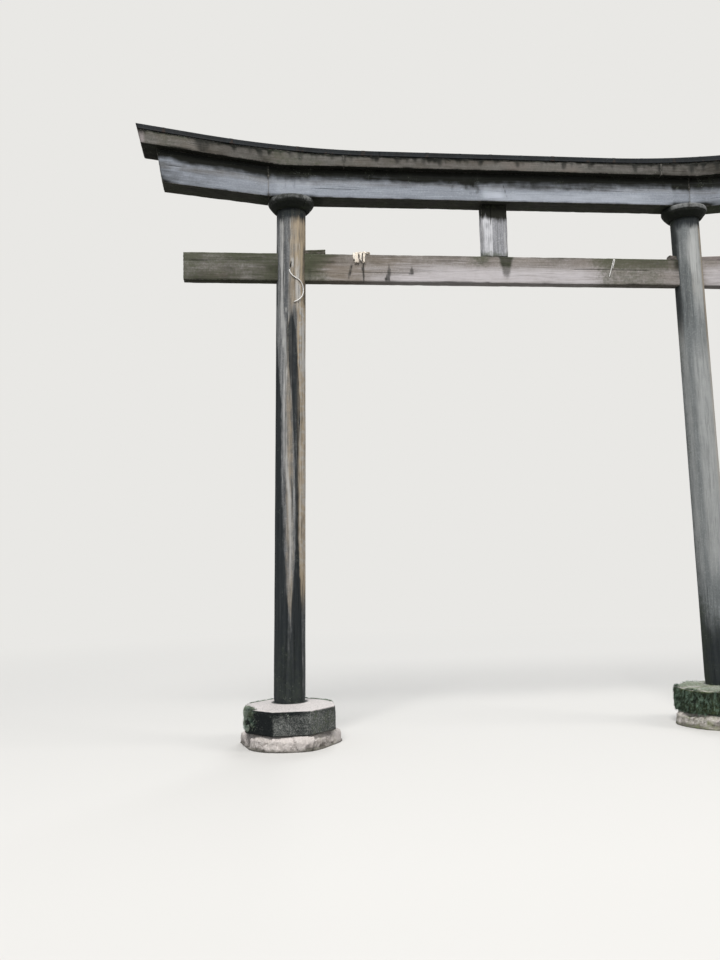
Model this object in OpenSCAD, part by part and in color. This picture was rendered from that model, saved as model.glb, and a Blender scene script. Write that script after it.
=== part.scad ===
// Old timber gate with two leaning round posts, a tie beam through them,
// a centre strut, and a swept double lintel under a thin roof.
// It stands on two eight-sided stone plinths, each on a rough mortar bed.
// Millimetres. X runs along the gate, -Y is the front, Z is up.
// The origin lies midway between the posts, at the underside of the beds.

/* [Overall] */

// Distance between the post centres at the plinths
post_spacing = 3030; // [2500:10:3700]

// Height from the plinth seat to the underside of the lower lintel
post_height = 3440; // [2800:10:4200]

// Inward lean of each post, in degrees
post_lean = 1.17; // [0:0.01:2]

/* [Posts] */

// Post diameter at the plinth
post_base_diameter = 213; // [180:1:250]

// Post diameter under the lower lintel
post_top_diameter = 202; // [160:1:245]

// Width of the square tenon on top of each post
post_tenon_width = 70; // [40:1:100]

// Height of the tenon on top of each post
post_tenon_height = 90; // [40:1:140]

// Diameter of the round tenon under each post
foot_tenon_diameter = 80; // [40:1:110]

// Length of the round tenon under each post
foot_tenon_length = 60; // [30:1:90]

/* [Plinths and beds] */

// Width of a plinth across its flats
plinth_width = 592; // [480:1:700]

// Height of a plinth from the bed to the post seat
plinth_height = 175; // [130:1:260]

// Fall of the plinth top from the seat to the rim
plinth_fall = 18; // [5:1:35]

// Width of the level seat under the post, across its flats
plinth_seat_width = 250; // [225:1:300]

// Height of a mortar bed
bed_height = 95; // [60:1:150]

// Mean spread of a mortar bed beyond the plinth flats
bed_spread = 38; // [20:1:80]

/* [Capital rings] */

// Widest diameter of a capital ring
ring_diameter = 328; // [270:1:380]

// Height of a capital ring
ring_height = 84; // [60:1:110]

/* [Lower lintel] */

// Depth of the lower lintel from front to back
lower_depth = 173; // [130:1:200]

// Height of the lower lintel between the posts
lower_height = 210; // [150:1:260]

// How far its bottom corners stand out beyond the foot of a post
lower_overhang = 811; // [600:1:1100]

// How far beyond the foot of a post its underside starts to rise
lower_bend_out = 89; // [40:1:180]

// Rise of the underside of its arms, per unit of length
lower_rise = 0.113; // [0.05:0.001:0.2]

// Outward slope of its end cuts, per unit of height
lower_end_slope = 0.16; // [0:0.01:0.4]

// Place of its left joint, outward from the foot of the left post
lower_joint_left_out = 89; // [-150:1:180]

// Place of its right joint, outward from the foot of the right post
lower_joint_right_out = -60; // [-150:1:180]

/* [Upper lintel] */

// Depth of the upper lintel from front to back
upper_depth = 252; // [200:1:300]

// Height of its front face in the middle
upper_height = 79; // [60:1:140]

// How far its bottom corners stand out beyond the foot of a post
upper_overhang = 951; // [750:1:1250]

// How far beyond the foot of a post its underside starts to rise
upper_bend_out = -2; // [-100:1:150]

// Rise of the underside of its arms, per unit of length
upper_rise = 0.138; // [0.08:0.001:0.22]

// Outward slope of its end cuts, per unit of height
upper_end_slope = 0.229; // [0:0.001:0.4]

// How far inside the foot of a post its top starts to sweep up
sweep_start_in = 665; // [200:1:1100]

// How far beyond the foot of a post the sweep becomes straight
sweep_full_out = 563; // [200:1:700]

// Rise of the straight part of the sweep, per unit of length
sweep_rise = 0.147; // [0.08:0.001:0.22]

// How far inside the foot of the left post its left joint is
upper_joint_left_in = 435; // [200:1:800]

// How far inside the foot of the right post its right joint is
upper_joint_right_in = 285; // [200:1:800]

/* [Roof] */

// Thickness of the roof edge
roof_thickness = 38; // [20:1:60]

// Slope of the roof on each side, in degrees
roof_slope = 14; // [8:1:25]

// How far the roof stands in front of the upper lintel
roof_overhang = 5; // [0:1:30]

// How far inside the foot of a post each roof joint is
roof_joint_in = 685; // [300:1:900]

// Width of the ridge batten
ridge_width = 72; // [50:1:100]

// Height of the ridge batten above the roof apex
ridge_height = 16; // [8:1:40]

/* [Tie beam and strut] */

// Drop from the underside of the lower lintel to the top of the tie beam
tie_drop = 386; // [200:1:700]

// Height of the tie beam
tie_height = 195; // [150:1:230]

// Thickness of the tie beam from front to back
tie_thickness = 82; // [50:1:110]

// How far the tie beam ends stand out beyond the foot of a post
tie_overhang = 676; // [450:1:900]

// Width of the centre strut
strut_width = 187; // [120:1:240]

// Thickness of the centre strut from front to back
strut_thickness = 74; // [40:1:110]

// Length of the tenon at each end of the strut
strut_tenon = 45; // [20:1:70]

/* [Wedges] */

// Thickness of a wedge at its head
wedge_head = 36; // [20:1:50]

// Thickness of a wedge at its tip
wedge_tip = 24; // [10:1:40]

// Width of a wedge from front to back
wedge_width = 62; // [40:1:100]

// Length of a wedge inside the post
wedge_inside = 92; // [60:1:95]

// How far the left inner wedge stands out of its post
left_inner_proud = 138; // [20:1:200]

// How far the right inner wedge stands out of its post
right_inner_proud = 46; // [20:1:200]

// How far the right outer wedge stands out of its post
right_outer_proud = 168; // [20:1:250]

/* [Remnants] */

// Thickness of the old string that clings to the left post
post_string_diameter = 7; // [4:1:12]

// Thickness of the old string that clings to the tie beam
beam_string_diameter = 5; // [3:1:8]

// How far inside the foot of the right post the beam string is
beam_string_in = 655; // [300:1:1000]

// Length of the wisp of old straw on the tie beam
straw_length = 130; // [60:1:200]

// Thickness of that wisp
straw_thickness = 20; // [8:1:30]

// How far inside the foot of the left post the wisp is
straw_in = 550; // [300:1:1000]

/* [Hidden] */

// Gap left between pieces at a joint
fit = 0.3;

// Number of short lengths that follow the sweep
steps = 30;

timber = [0.62, 0.62, 0.60];
dark_timber = [0.45, 0.43, 0.38];
stone = [0.52, 0.54, 0.50];
mortar = [0.80, 0.76, 0.70];
roofing = [0.22, 0.24, 0.27];
string_white = [0.85, 0.84, 0.80];
straw_yellow = [0.78, 0.70, 0.50];

// Route of the post string: turn round the post from its front, in degrees,
// and height over the top of the tie beam
post_string_route = [
    [-9, -134], [-5, -158], [5, -180], [20, -196], [35, -211], [45, -233],
    [50, -264], [48, -298], [37, -328], [22, -350], [9, -362]
];

// Route of the beam string: distance along the beam and height over its top
beam_string_route = [
    [1, -77], [3, -65], [8, -48], [13, -30], [17, -14], [11, -10],
    [5, -26], [-1, -46], [-8, -70], [-15, -94], [-22, -118], [-29, -139]
];

seat_z = bed_height + plinth_height;
lintel_z = seat_z + post_height;
upper_z = lintel_z + lower_height;
sweep_z = upper_z + upper_height;
tie_top = lintel_z - tie_drop;
tie_z = tie_top - tie_height;
half_spacing = post_spacing / 2;
lower_half_length = half_spacing + lower_overhang;
lower_bend = half_spacing + lower_bend_out;
lower_joint_left = half_spacing + lower_joint_left_out;
lower_joint_right = half_spacing + lower_joint_right_out;
upper_half_length = half_spacing + upper_overhang;
upper_bend = half_spacing + upper_bend_out;
sweep_start = half_spacing - sweep_start_in;
sweep_full = half_spacing + sweep_full_out;
upper_joint_left = half_spacing - upper_joint_left_in;
upper_joint_right = half_spacing - upper_joint_right_in;
roof_joint = half_spacing - roof_joint_in;
tie_half_length = half_spacing + tie_overhang;
roof_half_depth = upper_depth / 2 + roof_overhang;
apex_rise = roof_half_depth * tan(roof_slope);
far = upper_half_length + 400;

// Distance of a post axis from the middle of the gate at height z
function post_x(z) = half_spacing - (z - seat_z) * tan(post_lean);

// Post radius at height z
function post_r(z) = post_base_diameter / 2
    + (post_top_diameter - post_base_diameter) / 2 * (z - seat_z) / post_height;

// Underside of the lower lintel, underside of the upper lintel
function lower_z(x) = lintel_z + max(0, abs(x) - lower_bend) * lower_rise;
function under_z(x) = upper_z + max(0, abs(x) - upper_bend) * upper_rise;

// Rise of the roof edge: flat, then a parabola, then straight
function sweep(x) =
    let (d = min(abs(x), sweep_full) - sweep_start)
    (d <= 0 ? 0 : sweep_rise * d * d / (2 * (sweep_full - sweep_start)))
    + max(0, abs(x) - sweep_full) * sweep_rise;

// Places along the gate where a line may bend, from left to right
function span(a, b) = concat(
    [a],
    [for (i = [-steps:steps]) let (x = i * far / steps) if (x > a + 1 && x < b - 1) x],
    [b]
);

// A shape drawn in X and Z, carried from y0 to y1
module across(y0, y1) {
    translate([0, y1, 0])
        rotate([90, 0, 0])
            linear_extrude(height = y1 - y0)
                children();
}

// Region between the sweep line raised by a and by b
module sweep_band(x0, x1, a, b, scale = 1) {
    xs = span(x0, x1);
    n = len(xs) - 1;
    polygon(concat(
        [for (i = [0:n]) [xs[i], sweep(xs[i]) * scale + a]],
        [for (i = [n:-1:0]) [xs[i], sweep(xs[i]) * scale + b]]
    ));
}

// The same region tilted to the slope of the front of the roof
module sloped_band(x0, x1, a, b) {
    c = cos(roof_slope);
    translate([0, -roof_half_depth, sweep_z])
        rotate([roof_slope, 0, 0])
            across(-150, 300)
                sweep_band(x0, x1, a * c, b * c, c);
}

// Outline of the upper parts, with their slanted end cuts
module upper_envelope(x0, x1) {
    low = upper_z - 50;
    high = sweep_z + 600;
    base = under_z(upper_half_length);
    l0 = x0 <= -far ? -upper_half_length - (low - base) * upper_end_slope : x0;
    l1 = x0 <= -far ? -upper_half_length - (high - base) * upper_end_slope : x0;
    r0 = x1 >= far ? upper_half_length + (low - base) * upper_end_slope : x1;
    r1 = x1 >= far ? upper_half_length + (high - base) * upper_end_slope : x1;
    polygon([[l0, low], [r0, low], [r1, high], [l1, high]]);
}

// Leaning, tapering shaft of a post, grown by g
module shaft(side, g = 0) {
    reach = 60;
    length = post_height / cos(post_lean) + 2 * reach;
    taper = (post_top_diameter - post_base_diameter) / 2 / post_height * cos(post_lean);
    translate([side * half_spacing, 0, seat_z])
        rotate([0, -side * post_lean, 0])
            translate([0, 0, -reach])
                cylinder(
                    h = length,
                    r1 = post_base_diameter / 2 - taper * reach + g,
                    r2 = post_base_diameter / 2 + taper * (length - reach) + g,
                    $fn = 96
                );
}

// Wedge lying on the tie beam: way is +1 where its head points to +X
module wedge_shape(side, way, proud, g = 0) {
    face = side * post_x(tie_top) + way * post_r(tie_top);
    tip = face - way * wedge_inside;
    head = face + way * proud;
    across(-wedge_width / 2 - g, wedge_width / 2 + g)
        polygon([
            [tip - way * g, tie_top],
            [head, tie_top],
            [head, tie_top + wedge_head + g],
            [tip - way * g, tie_top + wedge_tip + g]
        ]);
}

module post(side) {
    difference() {
        union() {
            intersection() {
                shaft(side);
                translate([side * half_spacing - 500, -300, seat_z])
                    cube([1000, 600, post_height - fit]);
            }
            translate([side * half_spacing, 0, seat_z - foot_tenon_length])
                cylinder(h = foot_tenon_length + 10, d = foot_tenon_diameter, $fn = 48);
            translate([
                side * post_x(lintel_z) - post_tenon_width / 2,
                -post_tenon_width / 2,
                lintel_z - 10
            ])
                cube([post_tenon_width, post_tenon_width, post_tenon_height + 10]);
        }
        translate([
            side * post_x(tie_z) - 300,
            -tie_thickness / 2 - fit,
            tie_z - fit
        ])
            cube([600, tie_thickness + 2 * fit, tie_height + 2 * fit]);
        wedge_shape(side, -side, side < 0 ? left_inner_proud : right_inner_proud, fit);
        if (side > 0)
            wedge_shape(side, side, right_outer_proud, fit);
    }
}

module left_post() {
    color(timber)
        post(-1);
}

module right_post() {
    color(timber)
        post(1);
}

// Rough bed: a rounded outline whose radius wavers round the plinth
module bed(side, turn) {
    r = plinth_width / 2 + bed_spread;
    n = 22;
    difference() {
        translate([side * half_spacing, 0, 0])
            linear_extrude(height = bed_height)
                polygon([
                    for (i = [0:n - 1])
                        let (a = i * 360 / n)
                        let (w = 1 + 0.045 * sin(3 * a + turn) + 0.03 * sin(5 * a + 2 * turn))
                        [r * w * cos(a), max(-r, min(r, r * w * sin(a)))]
                ]);
        for (i = [0:n - 1])
            if (i % 3 != 1) {
                a = (i + 0.5) * 360 / n + turn / 9;
                translate([side * half_spacing, 0, bed_height])
                    rotate([0, 0, a])
                        translate([r * 1.07, 0, 0])
                            rotate([0, 40 + 8 * sin(4 * a + turn), 0])
                                cube([60, 150, 60], center = true);
            }
    }
}

module left_mortar_bed() {
    color(mortar)
        bed(-1, 25);
}

module right_mortar_bed() {
    color(mortar)
        bed(1, 140);
}

// Eight-sided block whose top falls from the seat to the rim
module plinth(side) {
    reach = (plinth_width - plinth_seat_width) / 2;
    difference() {
        translate([side * half_spacing, 0, bed_height])
            rotate([0, 0, 22.5])
                cylinder(h = plinth_height, d = plinth_width / cos(22.5), $fn = 8);
        for (i = [0:7])
            translate([side * half_spacing, 0, seat_z])
                rotate([0, 0, i * 45])
                    translate([plinth_seat_width / 2, 0, 0])
                        rotate([0, atan(plinth_fall / reach), 0])
                            translate([0, -plinth_width, 0])
                                cube([plinth_width, 2 * plinth_width, 100]);
        translate([side * half_spacing, 0, seat_z - foot_tenon_length - 2])
            cylinder(h = 100, d = foot_tenon_diameter + 2 * fit, $fn = 48);
    }
}

module left_plinth() {
    color(stone)
        plinth(-1);
}

module right_plinth() {
    color(stone)
        plinth(1);
}

// Ring with a full rounded side that draws in to the post below
module capital_ring(side) {
    r = ring_diameter / 2;
    h = ring_height;
    foot = post_top_diameter / 2 + 11;
    difference() {
        translate([side * post_x(lintel_z - ring_height / 2), 0, lintel_z - fit - h])
            rotate_extrude($fn = 96)
                polygon([
                    [60, 0],
                    [foot, 0],
                    [foot + (r - foot) * 0.36, h * 0.09],
                    [foot + (r - foot) * 0.66, h * 0.24],
                    [foot + (r - foot) * 0.88, h * 0.42],
                    [r, h * 0.62],
                    [r, h * 0.78],
                    [r - 3, h * 0.91],
                    [r - 10, h],
                    [60, h]
                ]);
        shaft(side, fit);
    }
}

module left_capital_ring() {
    color(dark_timber)
        capital_ring(-1);
}

module right_capital_ring() {
    color(dark_timber)
        capital_ring(1);
}

// Tie beam through both posts, with the mortise for the strut
module tie_beam() {
    color(timber)
        difference() {
            translate([-tie_half_length, -tie_thickness / 2, tie_z])
                cube([2 * tie_half_length, tie_thickness, tie_height]);
            strut_pins(fit);
        }
}

// Tenons at both ends of the strut, grown by g
module strut_pins(g = 0) {
    w = strut_width * 0.55 + 2 * g;
    t = strut_thickness * 0.4 + 2 * g;
    translate([-w / 2, -t / 2, tie_top - strut_tenon - g])
        cube([w, t, lintel_z - tie_top + 2 * strut_tenon + 2 * g]);
}

module centre_strut() {
    color(timber) {
        translate([-strut_width / 2, -strut_thickness / 2, tie_top + fit])
            cube([strut_width, strut_thickness, lintel_z - tie_top - 2 * fit]);
        strut_pins();
    }
}

module left_inner_wedge() {
    color(dark_timber)
        wedge_shape(-1, 1, left_inner_proud);
}

module right_inner_wedge() {
    color(dark_timber)
        wedge_shape(1, -1, right_inner_proud);
}

module right_outer_wedge() {
    color(timber)
        wedge_shape(1, 1, right_outer_proud);
}

// Part of the lower lintel from x0 to x1, with its mortises
module lower_lintel(x0, x1) {
    bottom = [for (x = [-lower_bend, lower_bend]) if (x > x0 + 1 && x < x1 - 1) x];
    top = [for (x = [upper_bend, -upper_bend]) if (x > x0 + 1 && x < x1 - 1) x];
    base = lower_z(lower_half_length);
    end_top = under_z(lower_half_length) - fit;
    lean = (end_top - base) * lower_end_slope / (1 - upper_rise * lower_end_slope);
    xl = x0 <= -lower_half_length ? -lower_half_length - lean : x0;
    xr = x1 >= lower_half_length ? lower_half_length + lean : x1;
    difference() {
        across(-lower_depth / 2, lower_depth / 2)
            polygon(concat(
                [[x0, lower_z(x0)]],
                [for (x = bottom) [x, lower_z(x)]],
                [[x1, lower_z(x1)]],
                [[xr, under_z(xr) - fit]],
                [for (x = top) [x, under_z(x) - fit]],
                [[xl, under_z(xl) - fit]]
            ));
        for (side = [-1, 1])
            translate([
                side * post_x(lintel_z) - post_tenon_width / 2 - fit,
                -post_tenon_width / 2 - fit,
                lintel_z - 10
            ])
                cube([
                    post_tenon_width + 2 * fit,
                    post_tenon_width + 2 * fit,
                    post_tenon_height + 10 + fit
                ]);
        strut_pins(fit);
    }
}

module lower_lintel_left() {
    color(timber)
        lower_lintel(-lower_half_length, -lower_joint_left - fit);
}

module lower_lintel_middle() {
    color(timber)
        lower_lintel(-lower_joint_left, lower_joint_right);
}

module lower_lintel_right() {
    color(timber)
        lower_lintel(lower_joint_right + fit, lower_half_length);
}

// Part of the upper lintel from x0 to x1, its top cut to the roof slopes
module upper_lintel(x0, x1) {
    xs = [for (x = [-upper_bend, upper_bend]) if (x > x0 + 1 && x < x1 - 1) x];
    difference() {
        intersection() {
            across(-upper_depth / 2, upper_depth / 2)
                polygon(concat(
                    [[x0, under_z(x0)]],
                    [for (x = xs) [x, under_z(x)]],
                    [[x1, under_z(x1)]],
                    [[x1, sweep_z + 500], [x0, sweep_z + 500]]
                ));
            across(-upper_depth, upper_depth)
                upper_envelope(x0, x1);
        }
        sloped_band(-far, far, -fit, 900);
        mirror([0, 1, 0])
            sloped_band(-far, far, -fit, 900);
    }
}

module upper_lintel_left() {
    color(timber)
        upper_lintel(-far, -upper_joint_left - fit);
}

module upper_lintel_middle() {
    color(timber)
        upper_lintel(-upper_joint_left, upper_joint_right);
}

module upper_lintel_right() {
    color(timber)
        upper_lintel(upper_joint_right + fit, far);
}

// Front half of the roof from x0 to x1
module roof(x0, x1) {
    intersection() {
        sloped_band(-far, far, 0, roof_thickness);
        across(-roof_half_depth, -fit / 2)
            upper_envelope(x0, x1);
    }
}

module roof_front_left() {
    color(roofing)
        roof(-far, -roof_joint - fit);
}

module roof_front_middle() {
    color(roofing)
        roof(-roof_joint, roof_joint);
}

module roof_front_right() {
    color(roofing)
        roof(roof_joint + fit, far);
}

module roof_back_left() {
    color(roofing)
        mirror([0, 1, 0])
            roof(-far, -roof_joint - fit);
}

module roof_back_middle() {
    color(roofing)
        mirror([0, 1, 0])
            roof(-roof_joint, roof_joint);
}

module roof_back_right() {
    color(roofing)
        mirror([0, 1, 0])
            roof(roof_joint + fit, far);
}

// Batten that covers the meeting line of the two roof halves
module ridge(x0, x1) {
    top = apex_rise + roof_thickness + ridge_height;
    difference() {
        intersection() {
            translate([0, 0, sweep_z])
                across(-ridge_width / 2, ridge_width / 2)
                    sweep_band(-far, far, 0, top);
            across(-ridge_width, ridge_width)
                upper_envelope(x0, x1);
        }
        sloped_band(-far, far, -200, roof_thickness + fit);
        mirror([0, 1, 0])
            sloped_band(-far, far, -200, roof_thickness + fit);
    }
}

module ridge_left() {
    color(roofing)
        ridge(-far, -roof_joint - fit);
}

module ridge_middle() {
    color(roofing)
        ridge(-roof_joint, roof_joint);
}

module ridge_right() {
    color(roofing)
        ridge(roof_joint + fit, far);
}

// Point at share t of the smooth line from p1 to p2
function smooth(p0, p1, p2, p3, t) =
    0.5 * (2 * p1 + (p2 - p0) * t + (2 * p0 - 5 * p1 + 4 * p2 - p3) * t * t
        + (3 * p1 - p0 - 3 * p2 + p3) * t * t * t);

// A route with one more point between each two of its points
function refined(route) =
    let (n = len(route) - 1)
    concat(
        [
            for (i = [0:n - 1])
                for (t = [0, 0.5])
                    smooth(
                        route[max(i - 1, 0)], route[i], route[i + 1], route[min(i + 2, n)], t
                    )
        ],
        [route[n]]
    );

// Round tube through the points; out holds the way off the surface at each
module tube(points, out, d) {
    n = len(points);
    sides = 8;
    ring_points = [
        for (i = [0:n - 1])
            let (along = points[min(i + 1, n - 1)] - points[max(i - 1, 0)])
            let (side = cross(along, out[i]) / norm(cross(along, out[i])))
            let (up = cross(side, along) / norm(cross(side, along)))
            for (k = [0:sides - 1])
                let (a = k * 360 / sides)
                points[i] + d / 2 * (cos(a) * up + sin(a) * side)
    ];
    walls = [
        for (i = [0:n - 2])
            for (k = [0:sides - 1])
                let (a = i * sides + k)
                let (b = i * sides + (k + 1) % sides)
                for (face = [[a, a + sides, b + sides], [a, b + sides, b]])
                    face
    ];
    first = [for (k = [0:sides - 1]) k];
    last = [for (k = [sides - 1:-1:0]) (n - 1) * sides + k];
    polyhedron(ring_points, concat([first], walls, [last]));
}

// Clings to the front and the inner side of the left post
module post_string() {
    route = refined(post_string_route);
    off = post_string_diameter / 2 + 2 * fit;
    color(string_white)
        tube(
            [
                for (p = route)
                    let (z = tie_top + p[1])
                    let (r = post_r(z) + off)
                    [-post_x(z) + r * sin(p[0]), -r * cos(p[0]), z]
            ],
            [for (p = route) [sin(p[0]), -cos(p[0]), 0]],
            post_string_diameter
        );
}

// Clings to the front of the tie beam
module beam_string() {
    route = refined(beam_string_route);
    off = tie_thickness / 2 + beam_string_diameter / 2 + 2 * fit;
    color(string_white)
        tube(
            [for (p = route) [half_spacing - beam_string_in + p[0], -off, tie_top + p[1]]],
            [for (p = route) [0, -1, 0]],
            beam_string_diameter
        );
}

// Lies over the front upper edge of the tie beam
module straw_wisp() {
    front = -tie_thickness / 2 - fit;
    t = straw_thickness;
    color(straw_yellow)
        translate([-half_spacing + straw_in - straw_length / 2, 0, tie_top])
            rotate([90, 0, 90])
                linear_extrude(height = straw_length)
                    polygon([
                        [front, -3.3 * t],
                        [front, fit],
                        [front + 2 * t, fit],
                        [front + 1.6 * t, 0.7 * t],
                        [front - 0.4 * t, t],
                        [front - t, 0.3 * t],
                        [front - t, -2.2 * t],
                        [front - 0.5 * t, -3.3 * t]
                    ]);
}

left_mortar_bed();
right_mortar_bed();
left_plinth();
right_plinth();
left_post();
right_post();
left_capital_ring();
right_capital_ring();
tie_beam();
centre_strut();
left_inner_wedge();
right_inner_wedge();
right_outer_wedge();
lower_lintel_left();
lower_lintel_middle();
lower_lintel_right();
upper_lintel_left();
upper_lintel_middle();
upper_lintel_right();
roof_front_left();
roof_front_middle();
roof_front_right();
roof_back_left();
roof_back_middle();
roof_back_right();
ridge_left();
ridge_middle();
ridge_right();
post_string();
beam_string();
straw_wisp();
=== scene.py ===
# %% [markdown]
# A wooden shrine gate, looked at from the lower left. Two round posts lean towards each
# other on eight-sided stone plinths. A tie beam goes through both posts and is locked by
# wedges, a short strut stands on it, and two lintels and a thin dark roof lie on top.
# The measured model comes first as a fixed frame. Every surface below is built round it,
# in the same metres, so nothing has to be fitted afterwards.

# %% Load the measured frame
from math import cos, pi, radians, sin, tan

import bpy
import numpy as np
from mathutils import Matrix, Vector


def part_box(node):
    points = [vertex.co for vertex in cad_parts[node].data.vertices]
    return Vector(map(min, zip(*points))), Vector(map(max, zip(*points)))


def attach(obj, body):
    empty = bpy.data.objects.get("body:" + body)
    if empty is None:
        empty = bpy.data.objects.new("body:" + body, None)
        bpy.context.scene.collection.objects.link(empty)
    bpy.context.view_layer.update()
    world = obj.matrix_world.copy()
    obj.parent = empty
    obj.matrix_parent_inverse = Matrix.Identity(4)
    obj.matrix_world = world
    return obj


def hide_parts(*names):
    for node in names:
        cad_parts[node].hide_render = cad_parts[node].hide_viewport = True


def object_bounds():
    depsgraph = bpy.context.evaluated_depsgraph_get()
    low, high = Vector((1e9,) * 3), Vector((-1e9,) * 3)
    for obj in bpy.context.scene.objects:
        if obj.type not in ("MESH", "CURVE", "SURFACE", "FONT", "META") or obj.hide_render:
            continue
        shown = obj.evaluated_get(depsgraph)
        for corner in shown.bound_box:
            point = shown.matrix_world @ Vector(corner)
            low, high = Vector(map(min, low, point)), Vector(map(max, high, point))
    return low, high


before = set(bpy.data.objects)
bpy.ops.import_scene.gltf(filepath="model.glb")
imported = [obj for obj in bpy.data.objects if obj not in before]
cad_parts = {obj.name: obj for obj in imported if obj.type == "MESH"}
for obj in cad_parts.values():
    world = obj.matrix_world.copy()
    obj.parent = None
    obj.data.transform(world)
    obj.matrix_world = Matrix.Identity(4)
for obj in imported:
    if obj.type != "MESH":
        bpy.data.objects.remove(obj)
cad_box = [list(corner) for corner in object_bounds()]
print("frame box", cad_box)

# %% [markdown]
# The camera stands low and a little left of the gate, and looks slightly up. Its place
# was solved from the edges of the beams in the photograph. A camera matrix has the
# picture's right, its up and the way back as columns, so three crossed directions and a
# small roll are all it needs.

# %% Camera at the photograph's angle
EYE = Vector((-1.7537, -6.2516, 1.1524))
TURN, PITCH, ROLL = 0.1188, 0.0937, 0.0246
LENS = 34.533

forward = Vector((sin(TURN) * cos(PITCH), cos(TURN) * cos(PITCH), sin(PITCH)))
level_right = Vector((cos(TURN), -sin(TURN), 0.0))
level_up = level_right.cross(forward)
right = level_right * cos(ROLL) - level_up * sin(ROLL)
up = level_right * sin(ROLL) + level_up * cos(ROLL)

camera = bpy.data.objects.new("camera", bpy.data.cameras.new("camera"))
camera.data.lens = LENS
camera.data.sensor_width = 36.0
camera.data.clip_end = 400.0
camera.matrix_world = Matrix((
    (right.x, up.x, -forward.x, EYE.x),
    (right.y, up.y, -forward.y, EYE.y),
    (right.z, up.z, -forward.z, EYE.z),
    (0.0, 0.0, 0.0, 1.0),
))
bpy.context.scene.collection.objects.link(camera)
bpy.context.scene.camera = camera
print("camera at", tuple(round(v, 3) for v in EYE))

# %% [markdown]
# Everything measured on the real gate is kept in a few named sizes, in metres. The
# beams bend upwards towards their tips, so their heights are small functions of the
# distance x along the gate.

# %% Sizes of the gate
HALF_SPACING, SEAT_Z, POST_HEIGHT = 1.515, 0.270, 3.440
LINTEL_Z = SEAT_Z + POST_HEIGHT
POST_FOOT_R, POST_TOP_R = 0.1065, 0.1010
LEAN = tan(radians(1.17))
LOWER_HALF_DEPTH, LOWER_END = 0.0865, 2.326
UPPER_HALF_DEPTH, UPPER_END = 0.126, 2.46599
UPPER_Z, ROOF_Z = 3.920, 3.999
LOWER_BEND, UPPER_BEND = 1.604, 1.513
LOWER_RISE, UPPER_RISE = 0.113, 0.138
LOWER_SLANT, UPPER_SLANT = 0.16, 0.229
SWEEP_START, SWEEP_FULL, SWEEP_RISE = 0.850, 2.078, 0.147
ROOF_HALF_DEPTH, ROOF_THICK, ROOF_SLOPE = 0.131, 0.038, tan(radians(14.0))
RIDGE_HALF_WIDTH, RIDGE_HEIGHT = 0.036, 0.016
TIE_Z, TIE_TOP, TIE_HALF_DEPTH, TIE_END = 3.129, 3.324, 0.041, 2.191
FIT = 0.0003


def post_x(z):
    """Distance of a post's axis from the middle: a straight line that leans inwards."""
    return HALF_SPACING - (z - SEAT_Z) * LEAN


def post_r(z):
    """Radius of a post: a straight taper from foot to top."""
    return POST_FOOT_R + (POST_TOP_R - POST_FOOT_R) * (z - SEAT_Z) / POST_HEIGHT


def lower_under(x):
    """Underside of the lower lintel: level, then rising past its bend."""
    return LINTEL_Z + np.maximum(0.0, np.abs(x) - LOWER_BEND) * LOWER_RISE


def upper_under(x):
    """Underside of the upper lintel: level, then rising past its bend."""
    return UPPER_Z + np.maximum(0.0, np.abs(x) - UPPER_BEND) * UPPER_RISE


def sweep(x):
    """Rise of the roof edge: nothing, then a parabola, then a straight line."""
    d = np.clip(np.abs(x), SWEEP_START, SWEEP_FULL) - SWEEP_START
    curve = SWEEP_RISE * d * d / (2.0 * (SWEEP_FULL - SWEEP_START))
    return curve + np.maximum(0.0, np.abs(x) - SWEEP_FULL) * SWEEP_RISE


def roof_under(x, y):
    """Underside of the roof: the sweep, plus the slope up to the middle."""
    return ROOF_Z + sweep(x) + (ROOF_HALF_DEPTH - np.abs(y)) * ROOF_SLOPE


print("posts stand", 2 * HALF_SPACING, "m apart; tie beam at", TIE_Z, "to", TIE_TOP)

# %% [markdown]
# Old timber and rough stone are never plain. The same smooth noise moves their vertices
# and breaks up their stains. It is a lattice of hashed corner values, blended with a
# smooth step, so every run gives the same surface.

# %% Noise and soft steps
HASH_X, HASH_Y, HASH_Z, HASH_SEED = 73856093, 19349663, 83492791, 49979687


def step_up(low, high, value):
    """Smooth step: 0 below low, 1 above high, 3t^2 - 2t^3 between (low may be above high)."""
    t = np.clip((value - low) / (high - low), 0.0, 1.0)
    return t * t * (3.0 - 2.0 * t)


def corner_value(cell, seed):
    """A repeatable number from -1 to 1 for each whole-numbered lattice corner."""
    mixed = (cell[..., 0] * HASH_X) ^ (cell[..., 1] * HASH_Y) ^ (cell[..., 2] * HASH_Z)
    mixed = (mixed ^ (seed * HASH_SEED)) & 0xFFFFFFFF
    mixed = ((mixed ^ (mixed >> 15)) * 1540483477) & 0xFFFFFFFF
    mixed = ((mixed ^ (mixed >> 13)) * 1812433253) & 0xFFFFFFFF
    return (mixed ^ (mixed >> 16)) / 2147483647.5 - 1.0


def xyz(x, y, z):
    """Points from three coordinates, each an array or a number, stretched to one shape."""
    return np.stack(np.broadcast_arrays(x, y, z), -1)


def noise(points, size, seed):
    """Value noise: corner values of the cell round each point, blended by smooth steps."""
    scaled = points / np.asarray(size, float)
    cell = np.floor(scaled).astype(np.int64)
    part = scaled - cell
    part = part * part * (3.0 - 2.0 * part)
    total = np.zeros(points.shape[:-1])
    for corner in np.ndindex(2, 2, 2):
        weight = np.prod(np.where(corner, part, 1.0 - part), axis=-1)
        total += weight * corner_value(cell + np.array(corner), seed)
    return total


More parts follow.
